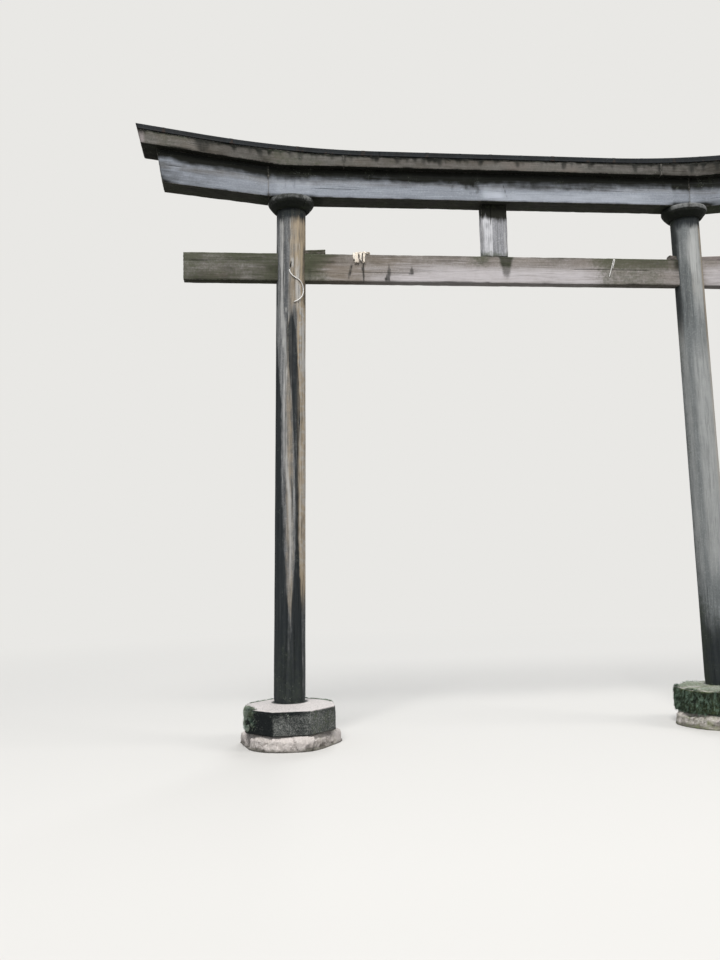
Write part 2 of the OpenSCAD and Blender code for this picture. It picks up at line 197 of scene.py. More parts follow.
def rough(points, size, seed, octaves=3):
    """Several noises, each half the size and half the strength of the one before."""
    total = np.zeros(points.shape[:-1])
    for k in range(octaves):
        total += noise(points, np.asarray(size, float) / 2 ** k, seed + 7 * k) / 2 ** k
    return total / (2.0 - 0.5 ** (octaves - 1))


def band(value, low, high, soft):
    """1 between low and high, fading out over the width soft on both sides."""
    return step_up(low - soft, low + soft, value) * step_up(high + soft, high - soft, value)


def between(value, places, results):
    """Straight lines between given places, for stains that change from place to place."""
    return np.interp(value, places, results)


def lines_at(base, extra, closest=0.0004):
    """Grid lines in order: the even base lines, and close extra ones where detail is."""
    lines = np.unique(np.round(np.concatenate([base, *extra]), 5))
    keep = np.concatenate([[True], np.diff(lines) > closest])
    return lines[keep]


# %% [markdown]
# Each piece is one closed skin: a grid of points whose columns run round the section and
# whose rows run along the piece. The two open ends are closed by a fan to one middle
# point. Marks such as stains are stored at the vertices, and the finish reads them.

# %% Skins from grids
MARKS = ("dark", "green", "warm", "pale", "drip", "edge", "crack")


def blank_marks(shape):
    """A set of marks that are all 0, to be filled in piece by piece."""
    return {mark: np.zeros(shape) for mark in MARKS}


def at_least(marks, name, value):
    """Raises one mark to a value wherever it is lower."""
    marks[name] = np.maximum(marks[name], value)


def bell(value, middle, wide):
    """1 at the middle, falling off to both sides: e to the -((value - middle) / wide)^2."""
    return np.exp(-((value - middle) / wide) ** 2)


def mesh_object(name, points, faces, marks, wood=None, is_smooth=True):
    """One mesh object from points and a list of face arrays (quads and triangles)."""
    loops = np.concatenate([f.reshape(-1) for f in faces])
    totals = np.concatenate([np.full(len(f), f.shape[1]) for f in faces])
    starts = np.concatenate([[0], np.cumsum(totals)[:-1]])
    mesh = bpy.data.meshes.new(name)
    mesh.vertices.add(len(points))
    mesh.vertices.foreach_set("co", points.astype(np.float32).ravel())
    mesh.loops.add(len(loops))
    mesh.loops.foreach_set("vertex_index", loops.astype(np.int32))
    mesh.polygons.add(len(totals))
    mesh.polygons.foreach_set("loop_start", starts.astype(np.int32))
    mesh.polygons.foreach_set("use_smooth", np.full(len(totals), is_smooth))
    mesh.update(calc_edges=True)
    mesh.validate()
    for mark, values in marks.items():
        layer = mesh.attributes.new(mark, "FLOAT", "POINT")
        layer.data.foreach_set("value", values.astype(np.float32).ravel())
    if wood is not None:
        layer = mesh.attributes.new("wood", "FLOAT_VECTOR", "POINT")
        layer.data.foreach_set("vector", wood.astype(np.float32).ravel())
    made = bpy.data.objects.new(name, mesh)
    bpy.context.scene.collection.objects.link(made)
    return made


def enclosed(points, triangles):
    """Volume inside the triangles: a sum of signed corners, below 0 if inside out."""
    a, b, c = (points[triangles[:, k]] for k in range(3))
    return float(np.sum(a * np.cross(b, c)) / 6.0)


def skin(name, grid, marks, wood, is_ring=False):
    """Closed skin of a rows x around grid, with its marks held between 0 and 1.

    is_ring joins the last row to the first one.
    """
    rows, around = grid.shape[:2]
    here = np.arange(rows * around).reshape(rows, around)
    beside = np.roll(here, -1, axis=1)
    if is_ring:
        nxt = np.roll(here, -1, axis=0)
        nxt_beside = np.roll(nxt, -1, axis=1)
        quads = np.stack([here, beside, nxt_beside, nxt], -1).reshape(-1, 4)
        ends = np.zeros((0, 3), int)
    else:
        quads = np.stack([here[:-1], beside[:-1], beside[1:], here[1:]], -1).reshape(-1, 4)
        first, last = np.full(around, rows * around), np.full(around, rows * around + 1)
        ends = np.concatenate([
            np.stack([beside[0], here[0], first], -1),
            np.stack([here[-1], beside[-1], last], -1),
        ])

    def with_poles(values):
        """Adds the mean of the first and of the last row, for the two middle points."""
        flat = values.reshape(rows * around, *values.shape[2:])
        if is_ring:
            return flat
        return np.concatenate([flat, values[:1].mean(axis=1), values[-1:].mean(axis=1)])

    points = with_poles(grid)
    triangles = np.concatenate([quads[:, [0, 1, 2]], quads[:, [0, 2, 3]], ends])
    if enclosed(points - points.mean(axis=0), triangles) < 0.0:
        quads, ends = quads[:, ::-1], ends[:, ::-1]
    marks = {mark: with_poles(np.clip(values, 0.0, 1.0)) for mark, values in marks.items()}
    return mesh_object(name, points, [quads, ends], marks, with_poles(wood))


def finish_piece(piece, node, material):
    """Gives a piece its finish, hides the measured part it stands for, and prints how far it stands
    proud.
    """
    piece.data.materials.append(material)
    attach(piece, "root")
    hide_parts(node)
    low, high = (np.array(corner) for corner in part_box(node))
    places = np.array([v.co for v in piece.data.vertices])
    proud = max(np.max(low - places.min(axis=0)), np.max(places.max(axis=0) - high))
    print(f"{piece.name}: {len(piece.data.polygons)} faces, stands {proud * 1000:.1f} mm proud")


def add_skin(node, stuff, grid, marks, wood, material, is_ring=False):
    """Skins a grid and finishes it; the piece is named after its node and its stuff."""
    finish_piece(skin(node + stuff, grid, marks, wood, is_ring), node, material)


# %% [markdown]
# Materials are small networks of nodes. These helpers place one node at a time, so that
# the recipes below read like sentences. Colours are given the way an eye reads them off
# a screen, from 0 to 255, and turned into the linear values that light works with.

# %% Helpers for node networks
def paint(red, green, blue):
    """Screen colour 0..255 to a linear colour: c/12.92 when dark, else a 2.4 power."""
    c = np.array([red, green, blue]) / 255.0
    linear = np.where(c <= 0.04045, c / 12.92, ((c + 0.055) / 1.055) ** 2.4)
    return (*(float(v) for v in linear), 1.0)


def put(tree, kind, inputs=None, **settings):
    """One node with its settings; each input is a socket to link from, or a value."""
    made = tree.nodes.new("ShaderNode" + kind)
    for key, value in settings.items():
        setattr(made, key, value)
    for key, value in (inputs or {}).items():
        if isinstance(value, bpy.types.NodeSocket):
            tree.links.new(value, made.inputs[key])
        else:
            made.inputs[key].default_value = value
    return made


def blend(tree, share, first, second):
    """Colour that goes from first to second as share goes from 0 to 1."""
    return put(tree, "Mix", {0: share, 6: first, 7: second}, data_type="RGBA").outputs[2]


def work(tree, operation, first, second=0.0):
    """One sum, product or other operation on one or two numbers."""
    return put(tree, "Math", {0: first, 1: second}, operation=operation).outputs[0]


def times(tree, first, second):
    """Product of two numbers."""
    return work(tree, "MULTIPLY", first, second)


def plus(tree, first, second):
    """Sum of two numbers."""
    return work(tree, "ADD", first, second)


def minus(tree, first, second):
    """The first number less the second."""
    return work(tree, "SUBTRACT", first, second)


def over(tree, colour, mask, share, tint):
    """Lays a tint over a colour: mask says where, and share how strongly."""
    return blend(tree, times(tree, mask, share), colour, tint)


def ramp(tree, value, low, high):
    """Smooth step of a value from 0 at low to 1 at high."""
    inputs = {"Value": value, "From Min": low, "From Max": high}
    return put(tree, "MapRange", inputs, interpolation_type="SMOOTHSTEP").outputs["Result"]


def stretched(tree, vector, x, y, z):
    """A place multiplied by one number along each direction."""
    inputs = {0: vector, 1: (x, y, z)}
    return put(tree, "VectorMath", inputs, operation="MULTIPLY").outputs[0]


def cloud(tree, vector, scale, detail=3.0, roughness=0.55):
    """Soft noise from 0 to 1 at a place."""
    inputs = {"Vector": vector, "Scale": scale, "Detail": detail, "Roughness": roughness}
    return put(tree, "TexNoise", inputs).outputs[0]


def shaken(tree, place, source, scale, reach):
    """A place moved about by coloured noise, so that the cells there get ragged edges."""
    inputs = {"Vector": source, "Scale": scale, "Detail": 3.0}
    shake = put(tree, "TexNoise", inputs).outputs["Color"]
    shake = put(tree, "VectorMath", {0: shake, "Scale": reach}, operation="SCALE").outputs[0]
    return put(tree, "VectorMath", {0: place, 1: shake}, operation="ADD").outputs[0]


def mark(tree, name):
    """A number stored at the vertices."""
    return put(tree, "Attribute", attribute_name=name).outputs["Fac"]


def new_group(name, inputs, outputs):
    """An empty node group with named sockets; gives the tree, its entry and its exit."""
    tree = bpy.data.node_groups.new(name, "ShaderNodeTree")
    for label, kind, value in inputs:
        made = tree.interface.new_socket(label, in_out="INPUT", socket_type=kind)
        if value is not None:
            made.default_value = value
    for label in outputs:
        tree.interface.new_socket(label, in_out="OUTPUT", socket_type="NodeSocketFloat")
    entry = tree.nodes.new("NodeGroupInput")
    leave = tree.nodes.new("NodeGroupOutput")
    return tree, entry.outputs, leave.inputs


def use_group(tree, group, **inputs):
    """Places a finished node group in a material; gives its outputs."""
    return put(tree, "Group", inputs, node_tree=group).outputs


def new_material(name):
    """An empty material; gives it with its node tree and its surface socket."""
    material = bpy.data.materials.new(name)
    material.use_nodes = True
    tree = material.node_tree
    tree.nodes.clear()
    return material, tree, put(tree, "OutputMaterial").inputs["Surface"]


def matt_surface(tree, surface, colour, roughness, gloss, height, depth, strength=1.0):
    """Ends a finish with one Principled shader and a bump that is depth metres high."""
    bump = put(tree, "Bump", {"Height": height, "Distance": depth, "Strength": strength})
    shader = put(tree, "BsdfPrincipled", {
        "Base Color": colour, "Roughness": roughness, "Normal": bump.outputs[0],
        "Specular IOR Level": gloss})
    tree.links.new(shader.outputs[0], surface)
    return shader


def object_place(tree):
    """The place of each point of the surface in the gate's own metres."""
    return put(tree, "TexCoord").outputs["Object"]


FLOAT, VECTOR = "NodeSocketFloat", "NodeSocketVector"

# %% [markdown]
# Weather opens the grain of bare timber: hard fibres stay proud and pale, soft ones wash
# out and darken, and long thin cracks follow them. One group makes all of this from a
# place given as (along, across, across), so it serves posts and beams alike.

# %% Group: open grain
grain, g_in, g_out = new_group(
    "open grain",
    [("Wood", VECTOR, None)],
    ["Fibre", "Streak", "Split", "Dark thread", "Pale thread", "Height"],
)
fine = cloud(grain, stretched(grain, g_in["Wood"], 2.4, 230.0, 230.0), 1.0, 4.0, 0.62)
wide = cloud(grain, stretched(grain, g_in["Wood"], 0.8, 36.0, 36.0), 1.0, 3.0, 0.6)
thin = cloud(grain, stretched(grain, g_in["Wood"], 1.5, 95.0, 95.0), 1.0, 1.0, 0.5)
thread = cloud(grain, stretched(grain, g_in["Wood"], 3.4, 76.0, 76.0), 1.0, 3.0, 0.72)
ridge = work(grain, "ABSOLUTE", minus(grain, thin, 0.5))
split = minus(grain, 1.0, ramp(grain, ridge, 0.004, 0.026))
split = times(grain, split, ramp(grain, wide, 0.50, 0.60))
height = plus(grain, times(grain, fine, 0.7), times(grain, wide, 0.5))
height = minus(grain, height, times(grain, split, 0.9))
grain.links.new(ramp(grain, fine, 0.34, 0.66), g_out["Fibre"])
grain.links.new(ramp(grain, wide, 0.32, 0.68), g_out["Streak"])
grain.links.new(split, g_out["Split"])
grain.links.new(ramp(grain, thread, 0.52, 0.68), g_out["Dark thread"])
grain.links.new(ramp(grain, thread, 0.46, 0.30), g_out["Pale thread"])
grain.links.new(height, g_out["Height"])

# %% [markdown]
# A stain painted at the vertices has an edge as soft as the grid. Real stains creep
# along the fibres and stop at a crack, so a second group breaks their edges up with
# noise that is drawn out along the wood, and with blotches. The edges of painted shade
# and painted highlights are broken up the same way.

# %% Group: ragged stain and shade
stain_and_shade, s_in, s_out = new_group(
    "ragged stain",
    [("Mark", FLOAT, 0.0), ("Wood", VECTOR, None), ("Reach", FLOAT, 1.5)],
    ["Mask"],
)
along = cloud(stain_and_shade, stretched(stain_and_shade, s_in["Wood"], 5.0, 70.0, 70.0), 1.0, 4.0, 0.6)
blot = cloud(stain_and_shade, s_in["Wood"], 17.0, 5.0, 0.62)
broken = plus(stain_and_shade, times(stain_and_shade, along, 0.6), times(stain_and_shade, blot, 0.4))
broken = times(stain_and_shade, minus(stain_and_shade, broken, 0.5), s_in["Reach"])
weight = ramp(stain_and_shade, s_in["Mark"], 0.0, 0.25)
total = plus(stain_and_shade, s_in["Mark"], times(stain_and_shade, broken, weight))
stain_and_shade.links.new(ramp(stain_and_shade, total, 0.05, 0.95), s_out["Mask"])


def ragged_stain_and_shade(tree, name, wood, reach):
    """Mask of one stored mark with its edge broken up along the wood."""
    return use_group(tree, stain_and_shade, Mark=mark(tree, name), Wood=wood, Reach=reach)["Mask"]


# %% [markdown]
# Algae lie as a thin film that thickens in patches, and lichen sits on it as small ragged
# specks. The specks are the middles of Voronoi cells, kept only where the patches are.

# %% Group: algae and lichen specks
growth, a_in, a_out = new_group(
    "algae and lichen",
    [("Mark", FLOAT, 0.0), ("Place", VECTOR, None)],
    ["Film", "Specks"],
)
film = cloud(growth, a_in["Place"], 46.0, 6.0, 0.66)
patch = cloud(growth, a_in["Place"], 7.0, 3.0, 0.55)
film = plus(growth, times(growth, film, 0.6), times(growth, patch, 0.4))
film = plus(growth, film, times(growth, a_in["Mark"], 0.55))
growth.links.new(ramp(growth, film, 0.62, 0.98), a_out["Film"])
ragged_place = shaken(growth, a_in["Place"], a_in["Place"], 110.0, 0.016)
dots = put(growth, "TexVoronoi", {"Vector": ragged_place, "Scale": 105.0}).outputs["Distance"]
uneven = minus(growth, cloud(growth, a_in["Place"], 38.0, 2.0), 0.5)
dots = plus(growth, dots, times(growth, uneven, 1.6))
specks = minus(growth, 1.0, ramp(growth, dots, 0.02, 0.22))
specks = times(growth, specks, ramp(growth, patch, 0.50, 0.66))
growth.links.new(specks, a_out["Specks"])


def growing(tree, place):
    """Film and specks where the green mark is stored."""
    return use_group(tree, growth, Mark=mark(tree, "green"), Place=place)


# %% [markdown]
# Corners are knocked and rubbed pale, but never in an even line. The stored edge mark is
# added to a fine noise, and only the sum's peaks count as worn.

# %% Group: worn edges
wear, e_in, e_out = new_group(
    "worn edge",
    [("Edge", FLOAT, 0.0), ("Place", VECTOR, None)],
    ["Mask"],
)
chips = cloud(wear, e_in["Place"], 60.0, 4.0, 0.6)
chips = plus(wear, e_in["Edge"], minus(wear, chips, 0.5))
wear.links.new(ramp(wear, chips, 0.55, 1.0), e_out["Mask"])


def worn_off(tree, place):
    """Mask of the chips along the stored edge mark."""
    return use_group(tree, wear, Edge=mark(tree, "edge"), Place=place)["Mask"]


# %% [markdown]
# The finish of every timber piece is the same recipe with its own colours: bare grey
# between a light and a deep tone, warm brown where the wood has not yet greyed, bleached
# fibres and painted highlights, dark mould and painted shade, green algae, dark water runs,
# and worn edges.

# %% Timber finish
CRACK_DARK = paint(24, 23, 21)
LICHEN = paint(176, 184, 170)
WORN = paint(170, 165, 156)
OLD_MOULD = paint(38, 39, 36)


def weathered_timber(name, bare, deep, warm, pale, dark, green, specks=0.18, wear_share=0.45,
                     hairline=0.4, cover=1.05, threads=0.5, streaky=1.0, reach=1.5):
    """Node material for bare timber, from six colours of the same piece of wood.

    streaky is how much the grain shows, and reach how ragged the edges of stains and painted shade are.
    """
    material, tree, surface = new_material(name)
    wood = put(tree, "Attribute", attribute_name="wood").outputs["Vector"]
    place = object_place(tree)
    fibres = use_group(tree, grain, Wood=wood)
    tone = plus(tree, times(tree, fibres["Fibre"], 0.55), times(tree, fibres["Streak"], 0.45))
    tone = plus(tree, times(tree, tone, streaky), 0.5 - 0.5 * streaky)
    colour = blend(tree, tone, deep, bare)
    mottle = cloud(tree, place, 90.0, 4.0, 0.72)
    colour = over(tree, colour, ramp(tree, mottle, 0.50, 0.68), 0.34, deep)
    colour = over(tree, colour, ramp(tree, mottle, 0.50, 0.34), 0.26, pale)
    cloudy = ramp(tree, cloud(tree, stretched(tree, wood, 4.0, 16.0, 16.0), 1.0, 5.0, 0.62), 0.46, 0.70)
    colour = over(tree, colour, cloudy, 0.42, deep)
    for label, tint, share in (("warm", warm, 0.85), ("pale", pale, 0.9), ("dark", dark, cover)):
        if label == "dark":
            colour = over(tree, colour, fibres["Dark thread"], threads, deep)
            colour = over(tree, colour, fibres["Pale thread"], 0.8 * threads, pale)
        mask = ragged_stain_and_shade(tree, label, wood, reach)
        strength = plus(tree, times(tree, tone, 0.25), share - 0.17)
        colour = over(tree, colour, mask, strength, tint)
    life = growing(tree, place)
    colour = over(tree, colour, life["Film"], 0.75, green)
    run_place = stretched(tree, place, 34.0, 34.0, 3.0)
    runs = ramp(tree, cloud(tree, run_place, 1.0, 3.0, 0.6), 0.30, 0.62)
    wet = ragged_stain_and_shade(tree, "drip", run_place, 0.5)
    wet = times(tree, wet, plus(tree, times(tree, runs, 0.40), 0.60))
    colour = blend(tree, wet, colour, OLD_MOULD)
    colour = over(tree, colour, life["Specks"], specks, LICHEN)
    worn = worn_off(tree, place)
    colour = over(tree, colour, worn, wear_share, WORN)
    open_split = times(tree, fibres["Split"], hairline)
    open_split = work(tree, "MAXIMUM", open_split, ramp(tree, mark(tree, "crack"), 0.12, 0.8))
    colour = blend(tree, open_split, colour, CRACK_DARK)
    sheen = plus(tree, times(tree, tone, 0.12), 0.78)
    height = minus(tree, fibres["Height"], times(tree, open_split, 0.5))
    height = plus(tree, height, times(tree, life["Film"], 0.15))
    matt_surface(tree, surface, colour, sheen, 0.12, height, 0.0022, 0.8)
    return material


post_timber = weathered_timber(
    "post_timber", bare=paint(144, 145, 146), deep=paint(74, 76, 77), warm=paint(184, 166, 139),
    pale=paint(186, 185, 182), dark=paint(43, 47, 49), green=paint(60, 66, 57), hairline=0.5,
    cover=1.02, threads=0.75)
smooth_post_timber = weathered_timber(
    "smooth_post_timber", bare=paint(134, 139, 140), deep=paint(98, 101, 101), warm=paint(164, 152, 134),
    pale=paint(184, 185, 183), dark=paint(43, 47, 49), green=paint(60, 66, 57), hairline=0.25,
    cover=1.02, threads=0.35, streaky=0.5, reach=0.6)
ring_timber = weathered_timber(
    "ring_timber", bare=paint(84, 86, 84), deep=paint(46, 47, 44), warm=paint(92, 86, 76),
    pale=paint(142, 143, 143), dark=paint(35, 38, 34), green=paint(44, 50, 38), wear_share=0.25)
tie_timber = weathered_timber(
    "tie_timber", bare=paint(174, 168, 165), deep=paint(126, 120, 115), warm=paint(122, 110, 94),
    pale=paint(202, 197, 199), dark=paint(50, 50, 43), green=paint(76, 80, 62), hairline=0.2,
    cover=1.0, threads=0.45, streaky=0.7, reach=1.1)
strut_timber = weathered_timber(
    "strut_timber", bare=paint(180, 181, 185), deep=paint(116, 116, 119), warm=paint(146, 138, 124),
    pale=paint(216, 216, 219), dark=paint(33, 33, 28), green=paint(80, 86, 66), cover=1.15)
wedge_timber = weathered_timber(
    "wedge_timber", bare=paint(146, 136, 132), deep=paint(104, 97, 92), warm=paint(116, 106, 88),
    pale=paint(160, 151, 150), dark=paint(42, 44, 34), green=paint(68, 73, 50), streaky=0.7)
lower_lintel_timber = weathered_timber(
    "lower_lintel_timber", bare=paint(163, 169, 178), deep=paint(124, 128, 135),
    warm=paint(112, 106, 96), pale=paint(192, 197, 206), dark=paint(24, 25, 21),
    green=paint(68, 74, 58), hairline=0.12, cover=1.06, threads=0.25, streaky=0.5, reach=0.75)
upper_lintel_timber = weathered_timber(
    "upper_lintel_timber", bare=paint(124, 120, 116), deep=paint(84, 84, 78),
    warm=paint(104, 95, 84), pale=paint(154, 146, 145), dark=paint(25, 26, 22),
    green=paint(62, 70, 54), hairline=0.12, cover=1.06, threads=0.3, streaky=0.55, reach=0.9)
print("timber finishes ready")

# %% [markdown]
# Rounded bars make up most of the gate. The section is a rectangle with rounded corners,
# walked round once: each point has a place on the flat rectangle and the way outwards.
# Extra columns beside every drying crack give the crack real depth.

# %% Section of a bar
FRONT, TOP, BACK, BOTTOM, CORNER = 0, 1, 2, 3, 4
CORNER_STEPS = 3


def section(half_depth, half_height, rounding, spacing, splits=()):
    """Rounded rectangle walked front, top, back, bottom: (fy, fz) flat, (ny, nz) outwards."""
    walk = []
    for side, half in ((FRONT, half_height), (TOP, half_depth), (BACK, half_height),
                       (BOTTOM, half_depth)):
        flat = half - rounding
        extra = [np.array([at - wide, at, at + wide])
                 for face, at, wide, *_ in splits if face == side]
        extra = [e[np.abs(e) < 0.97] for e in extra]
        base = np.linspace(-1.0, 1.0, max(3, int(round(2.0 * flat / spacing)) + 1))
        walk.append((side, lines_at(base, extra)))
    fy, fz, ny, nz, face, rel = [], [], [], [], [], []
    turn = np.linspace(0.0, pi / 2.0, CORNER_STEPS + 2)[1:-1]
    for side, lines in walk:
        way = {FRONT: (-1, 0), TOP: (0, 1), BACK: (1, 0), BOTTOM: (0, -1)}[side]
        nxt = {FRONT: (0, 1), TOP: (1, 0), BACK: (0, -1), BOTTOM: (-1, 0)}[side]
        fy += list(way[0] + nxt[0] * lines)
        fz += list(way[1] + nxt[1] * lines)
        ny += [way[0]] * len(lines)
        nz += [way[1]] * len(lines)
        face += [side] * len(lines)
        rel += list(lines)
        fy += [way[0] + nxt[0]] * CORNER_STEPS
        fz += [way[1] + nxt[1]] * CORNER_STEPS
        ny += list(way[0] * np.cos(turn) + nxt[0] * np.sin(turn))
        nz += list(way[1] * np.cos(turn) + nxt[1] * np.sin(turn))
        face += [CORNER] * CORNER_STEPS
        rel += [1.0] * CORNER_STEPS
    cut = {"fy": fy, "fz": fz, "ny": ny, "nz": nz, "face": face, "rel": rel}
    return {key: np.array(values) for key, values in cut.items()} | {"splits": splits}


def split_depth(cut, along):
    """Depth and mark of the drying cracks: a V across, fading at both ends, uneven along."""
    depth = np.zeros((len(along), len(cut["fy"])))
    for k, (face, at, wide, start, end, deep) in enumerate(cut["splits"]):
        across = np.clip(1.0 - np.abs(cut["rel"] - at) / wide, 0.0, 1.0) * (cut["face"] == face)
        fade = 0.12 * (end - start)
        length = step_up(start, start + fade, along) * step_up(end, end - fade, along)
        spots = xyz(along, k, 0.0)
        length = length * step_up(-0.45, 0.35, noise(spots, (0.13, 1.0, 1.0), 31 + k))
        depth = np.maximum(depth, deep * length[:, None] * across[None, :])
    return depth, np.clip(depth / 0.006, 0.0, 1.0)


def bar_rows(start, end, spacing, half, rounding, tight=(False, False)):
    """Rows of a bar as (place along, size of the section): full size, then shrinking ends.

    A tight end butts against the next length, and is rounded only a little.
    """
    turn = np.linspace(0.0, pi / 2.0, 4)[1:]
    caps = np.array([0.9, 0.78, 0.64, 0.5, 0.36, 0.22, 0.1])
    places, sizes = [], []
    for is_tight in tight:
        r = rounding * (0.2 if is_tight else 1.0)
        places.append(np.concatenate([r * (1.0 - np.sin(turn)), 0.0 * caps]))
        sizes.append(np.concatenate([1.0 - r * (1.0 - np.cos(turn)) / half, caps * (1.0 - r / half)]))
    first, last = (place[0] + rounding * 0.05 for place in places)
    middle = np.linspace(start + first, end - last, int((end - start) / spacing))
    along = np.concatenate([start + places[0][::-1], middle, end - places[1]])
    size = np.concatenate([sizes[0][::-1], np.ones(len(middle)), sizes[1]])
    return along, size


SWELL, CHIP = 0.0011, 0.004


def bar(x0, x1, half_depth, half_height, rounding, spacing, splits, seed,
        is_butted=(False, False)):
    """A bar from x0 to x1: swollen, with chipped corners, cracks and end-grain relief.

    Gives its rows and section, each point's place across and above the middle, how far
    the relief of the ends moves it along the bar, and the edge and crack marks.
    """
    cut = section(half_depth, half_height, rounding, spacing, splits)
    along, size = bar_rows(x0, x1, spacing, min(half_depth, half_height), rounding, is_butted)
    across, above = cut["fy"] * (half_depth - rounding), cut["fz"] * (half_height - rounding)
    to_corner = np.where(cut["face"] % 2 == 0, half_height - np.abs(above),
                         half_depth - np.abs(across))
    to_corner = np.where(cut["face"] == CORNER, 0.0, to_corner)
    spots = xyz(along[:, None], cut["fy"] * half_depth, cut["fz"] * half_height)
    outwards = SWELL * rough(spots, (0.34, 0.09, 0.09), seed)
    outwards += 0.0005 * rough(spots, (0.10, 0.012, 0.012), seed + 1, 2)
    near = np.exp(-to_corner / 0.007)[None, :]
    loss = np.clip(rough(spots, (0.07, 0.03, 0.03), seed + 2) - 0.05, 0.0, 1.0)
    outwards -= near * CHIP * (0.12 + 2.0 * loss)
    depth, crack = split_depth(cut, along)
    is_side = (size > 0.995)[:, None]
    outwards -= depth * is_side
    edge = 0.75 * np.exp(-to_corner / 0.011)[None, :] * is_side
    at_end = np.maximum(np.exp(-(along - along[0]) / 0.012), np.exp(-(along[-1] - along) / 0.012))
    edge = np.maximum(edge, at_end[:, None] * np.where(size > 0.9, 0.85, 0.15)[:, None])
    ring_r = np.hypot(spots[..., 1] * size[:, None], spots[..., 2] * size[:, None] + 0.05)
    end_relief = 0.0009 * np.sin(ring_r / 0.0042) + 0.0014 * rough(spots, 0.02, seed + 3)
    turn = np.arctan2(cut["fz"], cut["fy"])[None, :] + 0.0 * ring_r
    star = np.cos(turn * 3.0 + seed) * np.cos(turn * 5.0 + 2.0 * seed)
    star = step_up(0.62, 0.95, star) * step_up(0.12, 0.4, size)[:, None] * (size < 0.93)[:, None]
    inwards = (end_relief + 0.004 * star + 0.0012) * (1.0 - is_side)
    shift = -np.sign(along - (x0 + x1) / 2.0)[:, None] * inwards
    y = size[:, None] * (across + cut["ny"] * (rounding + outwards))
    rise = size[:, None] * (above + cut["nz"] * (rounding + outwards))
    marks = blank_marks(y.shape)
    marks["edge"], marks["crack"] = edge, np.maximum(crack * is_side, star * (1.0 - is_side))
    return along, size, cut, y, rise, shift, marks


def straight_bar(x0, x1, z0, z1, half_depth, rounding, spacing, splits, seed, size_at=None):
    """A level bar; the place that its grain follows is moved, so that no two look alike."""
    half_height = (z1 - z0) / 2.0
    along, _, _, y, rise, shift, marks = bar(
        x0, x1, half_depth, half_height, rounding, spacing, splits, seed)
    grow = 1.0 if size_at is None else size_at(along)[:, None]
    x, z = along[:, None] + shift, z0 + grow * (rise + half_height)
    return xyz(x, y, z), marks, xyz(x, y + 0.31 * seed, z)


print("section of the tie beam has", len(section(0.041, 0.0975, 0.005, 0.011)["fy"]), "columns")

# %% [markdown]
# The tie beam is a plain squared timber that passes through both posts. It is dark and
# green towards its left end, paler to the right, and water has run down it below the
# strut and below the wisp of straw. Its marks are placed by their distance along x.

# %% Tie beam
TIE_SPLITS = (
    (FRONT, 0.42, 0.018, -2.19, -1.72, 0.006), (FRONT, -0.36, 0.014, -1.36, -0.55, 0.004),
    (FRONT, 0.10, 0.013, 0.35, 1.22, 0.004), (FRONT, -0.55, 0.016, 1.75, 2.19, 0.006),
    (FRONT, 0.62, 0.012, -0.5, -0.12, 0.003), (BACK, 0.2, 0.018, -1.3, 0.4, 0.006),
    (BACK, -0.4, 0.018, 0.6, 2.19, 0.006), (TOP, 0.15, 0.05, -1.2, -0.2, 0.006),
    (TOP, -0.2, 0.05, 0.3, 2.19, 0.006), (BOTTOM, 0.1, 0.05, -2.0, 0.9, 0.005),
)
grid, marks, wood = straight_bar(
    -TIE_END, TIE_END, TIE_Z, TIE_TOP, TIE_HALF_DEPTH, 0.0045, 0.0095, TIE_SPLITS, 3)
x = grid[..., 0]
up_face = (grid[..., 2] - TIE_Z) / (TIE_TOP - TIE_Z)
front = grid[..., 1] < 0.0
wander = 0.05 * rough(grid, (0.3, 0.2, 0.2), 12)
patches = rough(grid, (0.22, 0.2, 0.07), 14)

left_arm = step_up(-1.12, -1.42, x + 0.3 * (0.5 - up_face))
damp = between(x, [-2.19, -1.95, -1.70, -1.30, -1.00, -0.75, -0.40,
                   0.30, 0.45, 0.62, 0.85, 1.25, 1.45, 1.60],
               [0.50, 0.55, 0.68, 0.78, 0.42, 0.30, 0.22,
                0.20, 0.45, 0.20, 0.42, 0.62, 0.40, 0.10])
upper = step_up(0.45, 0.80, up_face + wander)
marks["dark"] = damp * (0.25 + 0.75 * np.maximum(upper, left_arm)) * (0.9 + 0.5 * patches)
marks["dark"] += 0.55 * band(x, 1.33, 1.46, 0.03) * step_up(0.2, 0.9, up_face)
marks["green"] = 0.55 * left_arm + 0.62 * band(x, -1.40, -1.18, 0.07) * step_up(0.9, 0.1, up_face)
marks["green"] += 0.5 * band(x, 0.72, 1.30, 0.10) + 0.22 * upper
marks["green"] += 0.45 * band(x, -0.20, -0.05, 0.05) * step_up(0.25, 1.0, up_face)
marks["warm"] = 0.7 * band(x, -2.10, -0.72, 0.22) * (0.6 + 0.8 * patches)
marks["warm"] += 0.35 * upper * step_up(-1.6, -1.3, x)
marks["warm"] += 0.25 * band(x, 0.75, 1.45, 0.15)
marks["pale"] = 0.75 * band(x, -0.60, 0.80, 0.22) * step_up(0.75, 0.40, up_face + wander)
marks["pale"] += 0.6 * band(x, 1.55, 2.12, 0.08) * step_up(0.95, 0.6, up_face)
marks["pale"] += 0.5 * band(x, -0.95, -0.55, 0.10) * step_up(0.38, 0.18, up_face + wander)

